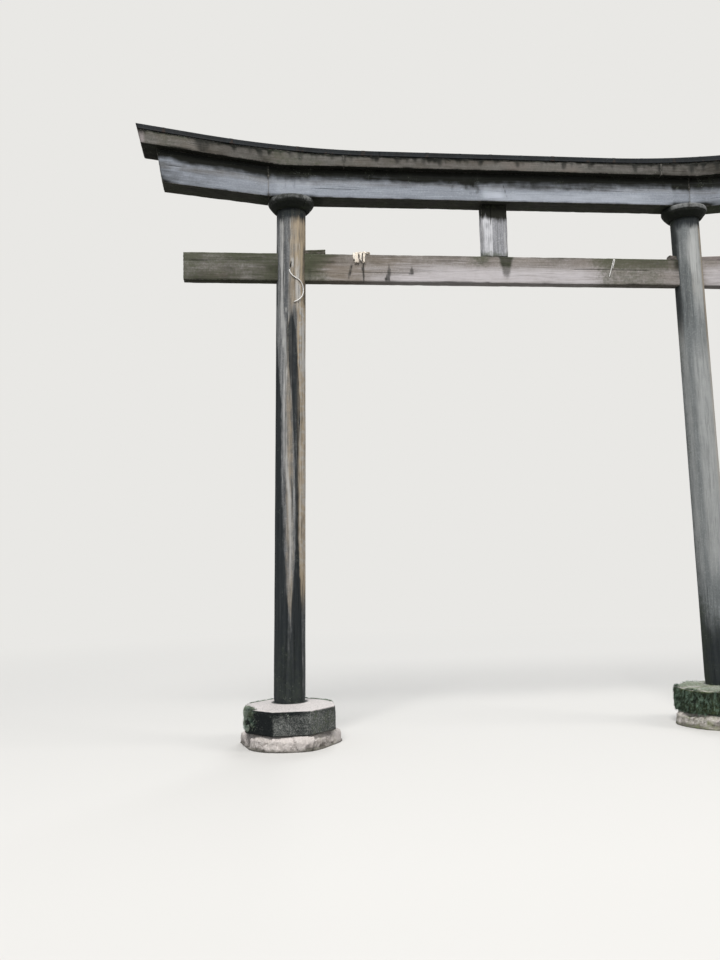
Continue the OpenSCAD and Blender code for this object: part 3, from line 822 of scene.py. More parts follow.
v_half = 0.012 + 0.034 * up_face
v_left, v_right = 0.070 - v_half, 0.072 + v_half * (1.1 + 0.3 * wander)
v_stain = step_up(v_left - 0.012, v_left + 0.012, x) * step_up(v_right + 0.014, v_right - 0.012, x)
marks["dark"] += (0.42 + 0.25 * up_face) * v_stain * step_up(0.02, 0.35, up_face) * front
marks["green"] += 0.3 * v_stain * front
# Darker along the top, and painted shade along the underside.
marks["dark"] += 0.35 * step_up(0.90, 1.0, up_face) + 0.30 * step_up(0.08, 0.0, up_face)
weave = rough(grid, (0.4, 0.3, 0.045), 17)
uneven = rough(grid, (0.09, 0.3, 0.035), 18)
for at, lean, wide, low, high, strength in (
        (-1.040, 0.055, 0.008, 0.05, 0.62, 0.85), (-0.955, 0.0, 0.0065, 0.0, 0.70, 0.95),
        (0.868, 0.0, 0.02, 0.15, 0.45, 0.35), (1.20, 0.0, 0.010, 0.2, 0.9, 0.25),
        (-1.33, 0.0, 0.012, 0.0, 0.5, 0.35), (-1.88, 0.0, 0.05, 0.0, 0.9, 0.3),
        (-0.962, 0.0, 0.008, 0.74, 0.97, 1.0)):
    middle = at + lean * (up_face - 0.5) + 0.008 * weave
    shape = bell(x, middle, wide * (1.0 + 0.9 * uneven)) * (1.0 + 0.6 * uneven)
    at_least(marks, "drip", strength * shape * band(up_face, low, high, 0.07) * front)
for top_at, left_foot, right_foot, low, high, strength in (
        (-0.766, -0.800, -0.764, 0.03, 0.66, 0.85), (-0.606, -0.632, -0.596, 0.26, 0.60, 0.60)):
    down = np.clip((high - up_face) / (high - low), 0.0, 1.0)
    left, right = top_at + (left_foot - top_at) * down, top_at + (right_foot - top_at) * down
    shape = step_up(left - 0.008, left + 0.001, x + 0.008 * weave) * (1.0 + 0.8 * uneven)
    shape = shape * step_up(right + 0.008, right - 0.001, x + 0.008 * weave)
    at_least(marks, "drip", strength * shape * band(up_face, low, high, 0.06) * front)
add_skin("tie_beam", "_timber", grid, marks, wood, tie_timber)

# %% [markdown]
# A post is a whole trunk, peeled and planed round. Its skin is a grid of angles and
# heights. Drying has opened long cracks, which get their own columns, and a knot has
# fallen out where the tie beam passes, so the rows and columns are closer there.

# %% Posts
POST_COLUMN, POST_ROW = 3.6, 0.0105
KNOT_ANGLE, KNOT_Z = -3.0, 3.222


def post_grid(side, splits, seed, extra_angles=(), extra_heights=()):
    """Points at radius r(z) + relief round the leaning axis; splits are V grooves."""
    base = np.arange(-180.0, 180.0, POST_COLUMN)
    extra = [np.array([at - wide, at, at + wide]) for at, wide, *_ in splits]
    angles = lines_at(base, [*extra, *extra_angles])
    angles = angles[(angles >= -180.0) & (angles < 179.5)]
    near_foot = np.array([SEAT_Z + 0.0005, SEAT_Z + 0.004])
    heights = lines_at(np.arange(SEAT_Z + 0.012, LINTEL_Z - 0.004, POST_ROW),
                       [*extra_heights, near_foot])
    heights = np.append(heights, LINTEL_Z - FIT)
    a, z = np.meshgrid(angles, heights)
    spots = xyz(np.cos(np.radians(a)) * 0.1, np.sin(np.radians(a)) * 0.1, z + side)
    drift = 2.2 * noise(spots * [0, 0, 1], (1.0, 1.0, 0.8), seed)
    drift *= step_up(0.25, 0.5, np.abs(z - KNOT_Z))
    relief = 0.0016 * rough(spots, (0.07, 0.07, 0.5), seed + 1)
    relief += 0.0006 * rough(spots, (0.012, 0.012, 0.16), seed + 2, 2)
    crack = np.zeros(a.shape)
    for k, (at, wide, start, end, deep) in enumerate(splits):
        across = np.clip(1.0 - np.abs(a - at) / wide, 0.0, 1.0)
        fade = 0.14 * (end - start)
        length = step_up(start, start + fade, z) * step_up(end, end - fade, z)
        length = length * (0.62 + 0.38 * noise(spots * [0, 0, 1] + k, (1.0, 1.0, 0.11), seed + 3))
        relief -= deep * across * length
        crack = np.maximum(crack, across * length * min(1.0, deep / 0.004))
    holes = np.clip(rough(spots, 0.05, seed + 5) + 0.4, 0.0, 1.0)
    eaten = step_up(SEAT_Z + 0.05, SEAT_Z, z) * (0.35 + 0.65 * holes)
    relief -= 0.006 * eaten
    marks = blank_marks(a.shape)
    marks["crack"] = crack
    marks["edge"] = 0.55 * eaten
    return a, z, a + drift, relief, marks, spots


def post_skin(node, side, z, turned, relief, marks, seed, material):
    """Closes the post: centre on the leaning axis, radius from the taper and the relief."""
    r = post_r(z) + relief - 0.0008
    axis = side * post_x(z)
    x = axis + r * np.sin(np.radians(turned))
    y = -r * np.cos(np.radians(turned))
    wood = xyz(z, x - axis + 0.7 * seed, y)
    add_skin(node, "_timber", xyz(x, y, z), marks, wood, material)


# %% [markdown]
# The stains of a post, its painted shade under the ring and its painted highlights are
# placed by angle and height: 0 degrees faces the front, and plus goes towards +X. A sway
# that follows the grain pushes their edges about, so that no stain ends in a ruled line.

# %% Left post
LEFT_SPLITS = (
    (-62.0, 2.2, 2.1, 3.60, 0.007), (-47.0, 1.6, 2.55, 3.65, 0.005), (-33.0, 1.4, 3.0, 3.62, 0.004),
    (-22.0, 1.8, 1.2, 2.75, 0.006), (8.0, 1.6, 2.2, 2.95, 0.006), (26.0, 1.8, 1.0, 2.8, 0.006),
    (48.0, 1.8, 0.9, 3.3, 0.006), (66.0, 1.6, 2.2, 3.55, 0.005), (-86.0, 2.4, 0.4, 2.4, 0.008),
    (110.0, 3.0, 0.5, 3.5, 0.010), (150.0, 2.0, 1.2, 3.0, 0.006), (-135.0, 2.4, 0.4, 2.9, 0.009),
    (12.0, 1.6, 0.30, 1.1, 0.005),
)
knot_angles = KNOT_ANGLE + np.array([-9, -6.5, -4.5, -3, -1.8, 0, 1.8, 3, 4.5, 6.5, 9])
knot_heights = KNOT_Z + np.linspace(-0.06, 0.06, 31)
a, z, turned, relief, marks, spots = post_grid(-1, LEFT_SPLITS, 40, [knot_angles], [knot_heights])
knot_a = (a - KNOT_ANGLE - 1.2 * np.sin((z - KNOT_Z) * 60.0)) / 2.5
knot_z = (z - KNOT_Z) / 0.021
knot = np.exp(-(knot_a ** 2 + knot_z ** 2) ** 1.5)
lip = np.exp(-(((a - KNOT_ANGLE) / 7.0) ** 2 + ((z - KNOT_Z) / 0.040) ** 2)) - knot
relief += 0.0035 * np.clip(lip, 0.0, 1.0) - 0.017 * knot
at_least(marks, "crack", step_up(0.25, 0.7, knot))

tear = rough(spots, (0.03, 0.03, 0.28), 43)
torn = rough(spots, (0.022, 0.022, 0.05), 44)
sway = 5.0 * tear + 3.0 * torn
shade_edge = between(z, [0.30, 0.60, 0.75, 0.95, 1.27, 1.60, 2.28, 2.52, 2.80, 3.70],
                     [60.0, 25.0, 0.0, -16.0, -24.0, -34.0, -39.0, -56.0, -72.0, -78.0])
is_front = np.abs(a) < 120.0
marks["dark"] = step_up(7.0, -7.0, a - shade_edge + sway) * step_up(3.3, 2.6, z) * is_front
side_shade = step_up(-58.0, -70.0, a + sway) + 0.8 * step_up(46.0, 58.0, a + sway)
at_least(marks, "dark", 0.75 * side_shade * band(z, 2.93, 3.38, 0.05) * is_front)
streak_z = [0.5, 0.68, 0.95, 1.27, 1.6, 1.94, 2.28, 2.52, 2.70, 2.80, 2.90]
streak_left = between(z, streak_z, [-12.0, -5.0, 6.0, 15.0, 17.0, 14.0, 2.0, -9.0, -13.0, -13.0, -4.0])
streak_right = between(z, streak_z, [50.0, 44.0, 38.0, 32.0, 33.0, 34.0, 38.0, 29.0, 22.0, 17.0, 6.0])
streak = band(a + 0.8 * sway, streak_left, streak_right, 4.0)
streak *= step_up(2.95, 2.83, z + 0.0012 * np.abs(a - 2.0) ** 1.5 + 0.03 * torn)
streak *= between(z, [1.0, 1.35, 2.25, 2.6], [0.95, 0.78, 0.82, 0.88])
at_least(marks, "dark", streak)
thread = bell(a + 0.5 * sway, -15.0, 2.4) * band(z, 2.50, 2.90, 0.04)
at_least(marks, "dark", 0.85 * thread)
foot_top = between(a, [-180.0, -20.0, -15.0, 0.0, 5.0, 28.0, 34.0, 180.0],
                   [1.10, 1.10, 0.80, 0.80, 1.05, 1.08, 1.06, 1.06])
soft = 1.0 + 1.2 * band(a, 38.0, 90.0, 6.0)
foot = step_up(foot_top + 0.12 * soft, foot_top - 0.14 * soft, z + 0.07 * tear)
faded = 0.33 * band(a + sway, -24.0, 2.0, 8.0) + 0.30 * band(a + 0.5 * sway, 44.0, 100.0, 8.0)
at_least(marks, "dark", foot * (1.22 - 0.18 * soft - faded))
marks["dark"] *= 1.0 - 0.25 * band(a + 0.6 * sway, -14.0, 2.0, 5.0) * band(z, 0.50, 0.95, 0.15)
at_least(marks, "dark", 0.28 * band(a + sway, -26.0, 22.0, 8.0) * band(z, 2.86, 3.12, 0.05))
# Painted shadow of the ring and lintel over the top of the post.
at_least(marks, "dark", step_up(3.49, 3.60, z + 0.03 * torn))
at_least(marks, "dark", 0.70 * step_up(95.0, 130.0, np.abs(a)) * step_up(3.4, 1.2, z))
marks["warm"] = 0.9 * band(a, 24.0, 84.0, 8.0) * step_up(0.75, 1.1, z)
marks["warm"] += 0.6 * band(a, -8.0, 44.0, 14.0) * step_up(2.85, 3.0, z)
marks["warm"] += 0.45 * band(a, -20.0, 10.0, 10.0) * band(z, 0.8, 2.9, 0.2)
marks["pale"] = 0.70 * band(a + 0.8 * sway, -50.0, -31.0, 4.0) * step_up(2.6, 2.9, z)
glint_at = between(z, [0.70, 0.95, 1.27, 1.60, 1.94, 2.28, 2.52, 2.80],
                   [-10.0, -8.0, -1.0, -3.0, -22.0, -27.0, -20.0, -28.0])
marks["pale"] += 0.72 * bell(a + 0.7 * sway, glint_at, 9.0) * band(z, 1.05, 2.85, 0.18)
below_lintel = band(z + 0.02 * torn, 2.90, 3.38, 0.04) * (0.6 + 0.8 * torn)
marks["pale"] += 0.75 * band(a, 14.0, 40.0, 6.0) * below_lintel
marks["pale"] += 0.7 * band(a, -2.0, 9.0, 2.5) * band(z, 3.205, 3.275, 0.02)
peeled = step_up(-0.05, 0.25, rough(spots, (0.05, 0.05, 0.016), 45))
upper_peel = band(z, 2.50, 2.925, 0.03) * (0.30 + 0.70 * peeled)
lower_peel = band(z, 1.15, 2.6, 0.1) * (0.5 + 0.5 * peeled)
marks["pale"] += 1.2 * band(a + sway, 32.0, 66.0, 6.0) * upper_peel
marks["pale"] += 0.62 * band(a + sway, 33.0, 85.0, 6.0) * lower_peel
marks["pale"] += 0.45 * band(a + sway, 22.0, 40.0, 5.0) * band(z, 2.93, 3.10, 0.03)
for at, low, high, wide in (
        (-20.0, 2.895, 2.925, 3.0), (-31.0, 2.655, 2.705, 2.2), (-24.0, 2.36, 2.40, 1.8),
        (-20.0, 1.86, 1.90, 2.0), (44.0, 2.74, 2.79, 6.0)):
    marks["pale"] += 1.1 * bell(a, at, wide) * band(z, low, high, 0.008)
marks["pale"] += 0.35 * band(a + sway, 50.0, 100.0, 8.0) * band(z, 2.46, 2.86, 0.06)
marks["pale"] *= 1.0 - 0.7 * marks["crack"]
marks["green"] = 0.4 * step_up(1.1, 0.5, z) + 0.35 * step_up(80.0, 110.0, np.abs(a))
marks["green"] += 0.35 * step_up(LINTEL_Z - 0.16, LINTEL_Z - 0.1, z)
post_skin("left_post", -1, z, turned, relief, marks, 2, post_timber)

# %% Right post
RIGHT_SPLITS = (
    (-106.0, 2.2, 0.9, 3.3, 0.008), (-48.0, 1.3, 2.78, 3.02, 0.003), (10.0, 1.3, 3.10, 3.30, 0.004),
    (50.0, 1.5, 0.6, 2.0, 0.003), (95.0, 2.8, 0.5, 3.4, 0.010), (160.0, 2.4, 0.8, 3.5, 0.009),
)
a, z, turned, relief, marks, spots = post_grid(1, RIGHT_SPLITS, 70)
tear = rough(spots, (0.03, 0.03, 0.28), 73)
torn = rough(spots, (0.022, 0.022, 0.05), 74)
sway = 6.0 * tear + 3.0 * torn
marks["dark"] = 0.86 * step_up(-48.0, -74.0, a + 0.7 * sway) * (a > -150.0)
marks["dark"] *= step_up(2.62, 2.96, z + 0.06 * tear)
at_least(marks, "dark", 0.34 * band(a + sway, -62.0, -22.0, 14.0) * band(z, 2.85, 3.30, 0.1))
at_least(marks, "dark", 0.20 * step_up(1.4, 0.9, z + 0.1 * tear))
foot = step_up(0.98 - 0.0024 * (a + 60.0), 0.50, z + 0.08 * tear)
at_least(marks, "dark", foot * (0.93 - 0.2 * band(a, 8.0, 80.0, 14.0)))
# Painted shadow of the ring and lintel over the top of the post.
at_least(marks, "dark", step_up(3.50, 3.61, z + 0.03 * torn))
at_least(marks, "dark", 0.6 * step_up(100.0, 135.0, np.abs(a)) * step_up(3.4, 1.2, z))
marks["warm"] = 0.8 * band(a, 32.0, 80.0, 9.0) * step_up(0.9, 1.6, z)
marks["warm"] += 0.35 * band(a + sway, -120.0, -66.0, 10.0) * step_up(2.2, 2.9, z)
marks["warm"] += 0.30 * band(a + sway, -20.0, 20.0, 7.0) * band(z, 3.0, 3.30, 0.08)
# Painted highlight down the front of the upper post.
marks["pale"] = 0.62 * band(a + 0.6 * sway, -14.0, 36.0, 13.0) * step_up(2.6, 3.1, z)
marks["pale"] += 0.4 * band(a + 0.6 * sway, -24.0, 14.0, 12.0) * band(z, 3.2, 3.46, 0.05)
marks["pale"] += 0.45 * band(a + sway, -104.0, -50.0, 12.0) * band(z, 0.95, 2.78, 0.2)
marks["pale"] += 0.58 * band(a + sway, -40.0, 56.0, 16.0) * band(z, 1.0, 2.7, 0.20)
marks["pale"] += 0.30 * band(a + sway, -46.0, -10.0, 12.0) * band(z, 3.28, 3.48, 0.05)
marks["pale"] *= 1.0 - 0.7 * marks["crack"]
marks["green"] = 0.40 * step_up(-50.0, -95.0, a) * (a > -170.0) + 0.35 * step_up(90.0, 130.0, a)
marks["green"] += 0.38 * step_up(1.2, 0.5, z)
marks["green"] += 0.35 * step_up(LINTEL_Z - 0.16, LINTEL_Z - 0.1, z)
post_skin("right_post", 1, z, turned, relief, marks, 5, smooth_post_timber)

# %% [markdown]
# A turned ring sits on each post and carries the lintel. Its profile is lathed: a list of
# (radius, height) points, swept round the post's axis and closed through its bore.

# %% Capital rings
RING_R, RING_HEIGHT = 0.1615, 0.084
RING_FOOT = POST_TOP_R + 0.011
RING_CRACKS, CRACK_HALF = (-64.0, -12.0, 37.0, 96.0, 150.0, -128.0), 1.2


def ring_profile():
    """Side of the ring: a soft chamfer out from the post, a short upright face, the top."""
    chamfer = np.array([
        (0.0, 0.0), (0.16, 0.05), (0.30, 0.125), (0.43, 0.205), (0.55, 0.285), (0.67, 0.37),
        (0.78, 0.455), (0.88, 0.54), (0.96, 0.62), (1.0, 0.69)])
    chamfer[:, 0] = RING_FOOT + (RING_R - RING_FOOT) * chamfer[:, 0]
    face_and_top = np.array([
        (0.0003, 0.77), (0.0, 0.85), (-0.0015, 0.915), (-0.005, 0.97), (-0.010, 1.0),
        (-0.024, 1.0), (-0.042, 1.0)]) + [RING_R, 0.0]
    side = np.concatenate([chamfer, face_and_top]) * [1.0, RING_HEIGHT]
    steps = np.arange(len(side))
    finer = np.linspace(0, len(side) - 1, 3 * len(side))
    return np.stack([np.interp(finer, steps, side[:, 0]), np.interp(finer, steps, side[:, 1])], -1)


def capital_ring(node, side, seed, marks_at):
    """Lathed ring: profile turned round the axis, with chips, splits and slow waves."""
    profile = ring_profile()
    bottom = LINTEL_Z - FIT - RING_HEIGHT
    angles = np.radians(lines_at(np.arange(-180.0, 180.0, 2.5), [
        np.array([at - CRACK_HALF, at, at + CRACK_HALF]) for at in RING_CRACKS]))
    r, a = np.meshgrid(profile[:, 0], angles, indexing="ij")
    z = bottom + profile[:, 1][:, None] + 0.0 * a
    spots = xyz(r * np.sin(a) + side, -r * np.cos(a), z)
    outer = step_up(RING_FOOT + 0.004, RING_R - 0.02, r)
    bite = np.clip(rough(spots, 0.045, seed) - 0.18, 0.0, 1.0)
    relief = -0.0012 + 0.0012 * rough(spots, 0.05, seed + 1) - 0.010 * bite
    crack = np.zeros(a.shape)
    for at in RING_CRACKS:
        groove = np.clip(1.0 - np.abs(np.degrees(a) - at) / CRACK_HALF, 0.0, 1.0)
        open_by = 0.4 + 0.6 * corner_value(np.array([int(at), 1, 2]), seed) ** 2
        crack = np.maximum(crack, groove * open_by)
    relief -= 0.005 * crack
    r = r + relief * outer
    bore = np.array([(-0.001, 1.0), (-0.001, 0.5), (-0.001, 0.0)])
    inner_z = bottom + bore[:, 1] * RING_HEIGHT
    r = np.concatenate([r, (post_r(inner_z) + 0.0012)[:, None] + 0.0 * a[:3]])
    z = np.concatenate([z, inner_z[:, None] + 0.0 * a[:3]])
    a = np.concatenate([a, a[:3]])
    centre = side * post_x(z)
    x, y = centre + r * np.sin(a), -r * np.cos(a)
    marks = blank_marks(a.shape)
    marks["crack"][: len(crack)] = crack * outer
    level = (z - bottom) / RING_HEIGHT
    marks["edge"] = 0.7 * band(level, 0.93, 1.02, 0.05) * (r > RING_R - 0.012)
    grid = xyz(x, y, z)
    marks_at(marks, np.degrees(a), level, grid)
    wood = xyz(x * 0.8, z, y)
    add_skin(node, "_timber", grid, marks, wood, ring_timber, is_ring=True)


def left_ring_marks(marks, a, level, place):
    """Painted shade below and under the lintel, a painted lit green-grey band on the front above,
    a spot of lichen right of the middle.
    """
    patchy = rough(place, 0.03, 81)
    lit = step_up(0.56, 0.64, level + 0.05 * patchy) * band(a, -58.0, 58.0, 6.0)
    marks["dark"] = 0.98 * step_up(0.46, 0.30, level + 0.06 * patchy) + 0.55 * (1.0 - lit)
    marks["pale"] = 0.55 * lit * step_up(-0.3, 0.4, patchy)
    marks["pale"] += bell(a, 40.0, 6.0) * band(level, 0.55, 0.95, 0.1)
    marks["green"] = 0.30 + 0.5 * patchy


def right_ring_marks(marks, a, level, place):
    """Painted shade below and under the lintel, darker still at the left, a painted lit band on
    the front above, paler and warmer.
    """
    patchy = rough(place, 0.03, 87)
    lit = step_up(0.56, 0.64, level + 0.05 * patchy) * band(a, -58.0, 62.0, 5.0)
    marks["dark"] = 0.98 * step_up(0.46, 0.30, level + 0.06 * patchy) + 0.60 * (1.0 - lit)
    marks["dark"] += 0.4 * step_up(-62.0, -84.0, a)
    marks["pale"] = 0.75 * lit * step_up(-0.7, 0.2, patchy)
    marks["warm"] = 0.3 * lit
    marks["green"] = 0.3 + 0.4 * patchy


capital_ring("left_capital_ring", -1, 80, left_ring_marks)
capital_ring("right_capital_ring", 1, 86, right_ring_marks)

# %% [markdown]
# The strut is a short squared timber standing on the tie beam, with its tenons hidden.
# It is made lying down as a bar and then stood up by swapping two coordinates.

# %% Centre strut
STRUT_HALF_WIDTH, STRUT_HALF_DEPTH = 0.0935, 0.037
STRUT_SPLITS = (
    (FRONT, -0.30, 0.035, -0.20, 0.60, 0.010), (FRONT, 0.42, 0.022, 0.0, 0.30, 0.004),
    (FRONT, -0.72, 0.022, 0.12, 0.50, 0.004), (BACK, 0.1, 0.03, 0.0, 0.5, 0.006),
    (TOP, 0.2, 0.06, 0.05, 0.33, 0.004), (BOTTOM, -0.2, 0.06, 0.0, 0.30, 0.004),
)
foot, head = TIE_TOP + FIT, LINTEL_Z - FIT
lying, marks, _ = straight_bar(
    foot, head, 0.0, 2 * STRUT_HALF_WIDTH, STRUT_HALF_DEPTH, 0.004, 0.0065,
    tuple((f, at, w, foot + s, foot + e, d) for f, at, w, s, e, d in STRUT_SPLITS), 8)
x = lying[..., 2] - STRUT_HALF_WIDTH
grid = xyz(x, lying[..., 1], lying[..., 0])
level = (grid[..., 2] - foot) / (head - foot)
patchy = rough(grid, 0.05, 93)
marks["dark"] = step_up(0.62, 0.83, level + 0.05 * patchy + 0.5 * x)
marks["dark"] += 0.22 * band(x, -0.018, 0.045, 0.012) * (0.8 + 0.9 * patchy)
marks["pale"] = 0.85 * step_up(-0.015, -0.035, x) * (0.7 + 0.6 * patchy) * step_up(0.9, 0.7, level)
marks["pale"] += 0.7 * bell(x, -0.022, 0.006) * step_up(0.85, 0.6, level)
marks["green"] = 0.7 * step_up(0.16, 0.0, level + 0.08 * patchy) + 0.4 * step_up(0.8, 0.95, level)
marks["warm"] = 0.25 * step_up(0.03, 0.09, x)
wood = xyz(grid[..., 2], grid[..., 0] + 4.0, grid[..., 1])
add_skin("centre_strut", "_timber", grid, marks, wood, strut_timber)

# %% [markdown]
# Wedges were split from a block and driven in beside the posts. Each is a short bar that
# grows from its tip to its head, with a bruised, rounded head.

# %% Wedges
WEDGE_HEAD, WEDGE_TIP, WEDGE_HALF_WIDTH, WEDGE_INSIDE = 0.036, 0.024, 0.031, 0.092


def wedge(node, side, way, proud, seed, stains):
    """Tapered bar from its tip inside the post to its head, lying on the tie beam."""
    face = side * post_x(TIE_TOP) + way * post_r(TIE_TOP)
    tip, head = face - way * WEDGE_INSIDE, face + way * proud
    x0, x1 = min(tip, head), max(tip, head)

    def size_at(x):
        """Height as a share of the head: a straight taper."""
        share = np.clip((x - tip) / (head - tip), 0.0, 1.0)
        return (WEDGE_TIP + (WEDGE_HEAD - WEDGE_TIP) * share) / WEDGE_HEAD

    splits = ((FRONT, 0.1, 0.16, x0, x1, 0.003), (TOP, -0.2, 0.10, x0, x1, 0.004))
    grid, marks, wood = straight_bar(
        x0, x1, TIE_TOP + 0.0002, TIE_TOP + WEDGE_HEAD, WEDGE_HALF_WIDTH, 0.005, 0.0045,
        splits, seed, size_at)
    for label, value in stains.items():
        marks[label] = marks[label] + value * (0.8 + 0.5 * rough(grid, 0.03, seed))
    near_head = np.exp(-np.abs(grid[..., 0] - head) / 0.012)
    at_least(marks, "edge", 0.6 * near_head)
    add_skin(node, "_timber", grid, marks, wood, wedge_timber)


wedge("left_inner_wedge", -1, 1, 0.138, 101, {"dark": 0.86, "green": 0.70, "warm": 0.3})
wedge("right_inner_wedge", 1, -1, 0.046, 103, {"dark": 0.62, "green": 0.55})
wedge("right_outer_wedge", 1, 1, 0.168, 105, {"pale": 0.35, "warm": 0.25, "green": 0.1})

# %% [markdown]
# Both lintels are built from three lengths each, butted end to end. Their arms rise past
# a bend and end in a slanted cut. One function carries the section along x, takes the
# underside and the top from the height functions, and leans the last part to the cut.

# %% Lintel lengths
LINTEL_ROW = 0.0105


def arm_end(z, side, end, under, slant):
    """Distance of the slanted end cut from the middle at height z."""
    return side * (end + (z - under(end)) * slant)


def leaned(along, z, x0, x1, end, under, slant):
    """Places along x: straight, and leaned to the slanted cut over the last 0.3 m of an arm."""
    x = along[:, None] + 0.0 * z
    for side, at in ((-1, x0), (1, x1)):
        if abs(at - side * end) < 1e-6:
            lean = step_up(at - side * 0.3, at, along)[:, None]
            x = x + lean * (arm_end(z, side, end, under, slant) - at)
    return x


def lintel_bar(x0, x1, half_depth, half_height, under, top_at, end, slant, splits, seed, rounding):
    """Skin grid of one length: rows along x, section between underside and top."""
    is_butted = (abs(x0 + end) > 1e-6, abs(x1 - end) > 1e-6)
    along, size, cut, y, rise, shift, marks = bar(
        x0, x1, half_depth, half_height, rounding, LINTEL_ROW, splits, seed, is_butted)
    share = 0.5 + rise / (2.0 * half_height)
    x = along[:, None] + 0.0 * y
    for _ in range(2):
        low, high = under(x), top_at(x, y)
        z = low + share * (high - low)
        x = leaned(along, z, x0, x1, end, under, slant)
    x = x + shift
    wood = xyz(x, y + 0.37 * seed, z - under(x))
    is_under = (cut["nz"] < -0.7)[None, :] & (size > 0.89)[:, None]
    return xyz(x, y, z), marks, wood, share, is_under


def upper_top(x, y):
    """Top of the upper lintel: cut to the slopes of the roof."""
    return roof_under(x, y) - FIT


def lower_top(x, y):
    """Top of the lower lintel: the underside of the upper one."""
    return upper_under(x) - FIT + 0.0 * y


# %% [markdown]
# The lower lintel has weathered to silver. A band under the upper lintel stays dark,
# because it never dries, and painted shade from the upper lintel's overhang lies on it too;
# the same runs of water come down from it. Its underside carries painted shade. The joints
# show as fine dark lines. All its marks are placed along x, so they run on over the joints.

# %% Lower lintel
def lower_marks(marks, grid, share, is_under):
    """Marks of the lower lintel by place: upper strip, patches, joints and underside.

    The upper strip is damp stain with painted shade from the upper lintel on it, the
    underside is painted shade, and the bottom is darker round the post tops.
    """
    x, y = grid[..., 0], grid[..., 1]
    front = y < 0.0
    wander = rough(grid, (0.30, 0.3, 0.08), 201)
    patches = rough(grid, (0.16, 0.2, 0.05), 203)
    half_dark = between(x, [-2.30, -2.13, -1.85, -1.38, -0.86, -0.33, 0.33, 0.92, 1.57],
                        [0.85, 0.73, 0.705, 0.585, 0.665, 0.58, 0.57, 0.595, 0.645])
    ragged = rough(grid, (0.035, 0.1, 0.05), 205)
    below = np.clip((half_dark + 0.39 - share - 0.05 * wander - 0.05 * ragged) / 0.55, 0.0, 1.0)
    strip = 1.1 * (1.0 - below ** 2)
    arm = between(x, [-2.33, -2.22, -2.06, -1.85, -1.66, -1.60, 1.47, 1.50, 2.05, 2.32],
                  [0.50, 0.42, 0.34, 0.26, 0.20, 0.0, 0.0, 0.26, 0.34, 0.50])
    # strip is damp stain with painted shade from the upper lintel; is_under paints shade on the
    # underside.
    marks["dark"] += strip + 0.68 * is_under + arm * (0.9 + 0.5 * patches) * ~is_under
    marks["dark"] += 0.45 * step_up(-2.16, -2.34, x + 0.5 * share) * ~is_under
    marks["dark"] += 0.25 * band(x, 1.5, 2.4, 0.05) * step_up(0.28, 0.05, share)
    marks["dark"] += 0.25 * band(x, 1.325, 1.455, 0.012) * front
    soaked = band(share, 0.2, 0.95, 0.2) * (0.5 + ragged)
    marks["dark"] += 0.35 * band(x + 0.03 * ragged, -0.26, -0.12, 0.035) * soaked
    mottled = band(share, 0.36, 0.75, 0.08) * (0.5 + 1.2 * patches)
    marks["dark"] += 0.30 * band(x, -1.00, -0.30, 0.2) * mottled
    marks["dark"] += 0.30 * band(x, 0.15, 0.85, 0.10) * band(share + 0.06 * wander, 0.40, 0.56, 0.05)
    marks["warm"] += 0.35 * band(share + 0.1 * wander, 0.40, 0.62, 0.08) + 0.9 * is_under
    marks["warm"] += 0.25 * band(x, -2.40, -1.62, 0.05) * (0.5 + patches)
    marks["pale"] += 0.35 * band(x, -1.56, -1.30, 0.03) * band(share, 0.1, 0.6, 0.12) * front
    marks["pale"] += 0.45 * band(x, -0.10, 1.15, 0.15) * band(share + 0.1 * wander, 0.03, 0.36, 0.08)
    marks["pale"] += 0.35 * band(x, -0.09, 0.055, 0.02) * band(share, 0.05, 0.70, 0.08) * front
    marks["green"] += 0.45 * is_under + 0.22 * strip
    marks["green"] += 0.25 * step_up(1.46, 1.5, x) * step_up(0.3, 0.0, share)
    for at, wide, low, strength in (
            (-1.487, 0.008, 0.10, 0.45), (-1.425, 0.010, 0.2, 0.35), (-1.12, 0.007, 0.4, 0.3),
            (-0.30, 0.014, 0.35, 0.4), (-0.215, 0.030, 0.22, 0.42), (-0.125, 0.020, 0.10, 0.48),
            (0.50, 0.007, 0.5, 0.3), (1.15, 0.010, 0.4, 0.3), (1.30, 0.012, 0.2, 0.3)):
        run = bell(x - 0.02 * patches, at, wide) * (1.0 + 0.8 * ragged)
        run = run * step_up(low - 0.1, low + 0.25, share + 0.3 * ragged)
        at_least(marks, "drip", strength * run * front)
    bow = 0.065 + 0.020 * np.cos(share * 3.2)
    at_least(marks, "crack", 0.55 * bell(x, bow, 0.005) * band(share, 0.15, 0.82, 0.05) * front)
    for at in (-1.604, 1.455):
        marks["dark"] += 0.35 * np.exp(-np.abs(x - at + 0.004 * patches) / 0.010)
    for side in (-1, 1):
        near = np.hypot(x - side * post_x(LINTEL_Z), y)
        marks["dark"] += 0.7 * step_up(0.24, 0.15, near) * step_up(0.20, 0.0, share)


LOWER_SPLITS = (
    (FRONT, -0.42, 0.016, -1.30, -0.95, 0.003), (FRONT, -0.10, 0.016, 0.80, 1.10, 0.003),
    (FRONT, 0.05, 0.016, -2.30, -2.0, 0.004), (FRONT, -0.50, 0.016, 1.60, 1.90, 0.004),
    (BACK, 0.2, 0.018, -2.2, -0.3, 0.007), (BACK, -0.3, 0.018, 0.2, 2.2, 0.007),
    (BOTTOM, 0.3, 0.03, -1.2, 1.0, 0.006),
)
for node, x0, x1, seed in (
        ("lower_lintel_left", -LOWER_END, -LOWER_BEND - FIT, 21),
        ("lower_lintel_middle", -LOWER_BEND, 1.455, 22),
        ("lower_lintel_right", 1.455 + FIT, LOWER_END, 23)):
    grid, marks, wood, share, is_under = lintel_bar(
        x0, x1, LOWER_HALF_DEPTH, 0.105, lower_under, lower_top, LOWER_END, LOWER_SLANT,
        LOWER_SPLITS, seed, 0.006)
    lower_marks(marks, grid, share, is_under)
    add_skin(node, "_timber", grid, marks, wood, lower_lintel_timber)
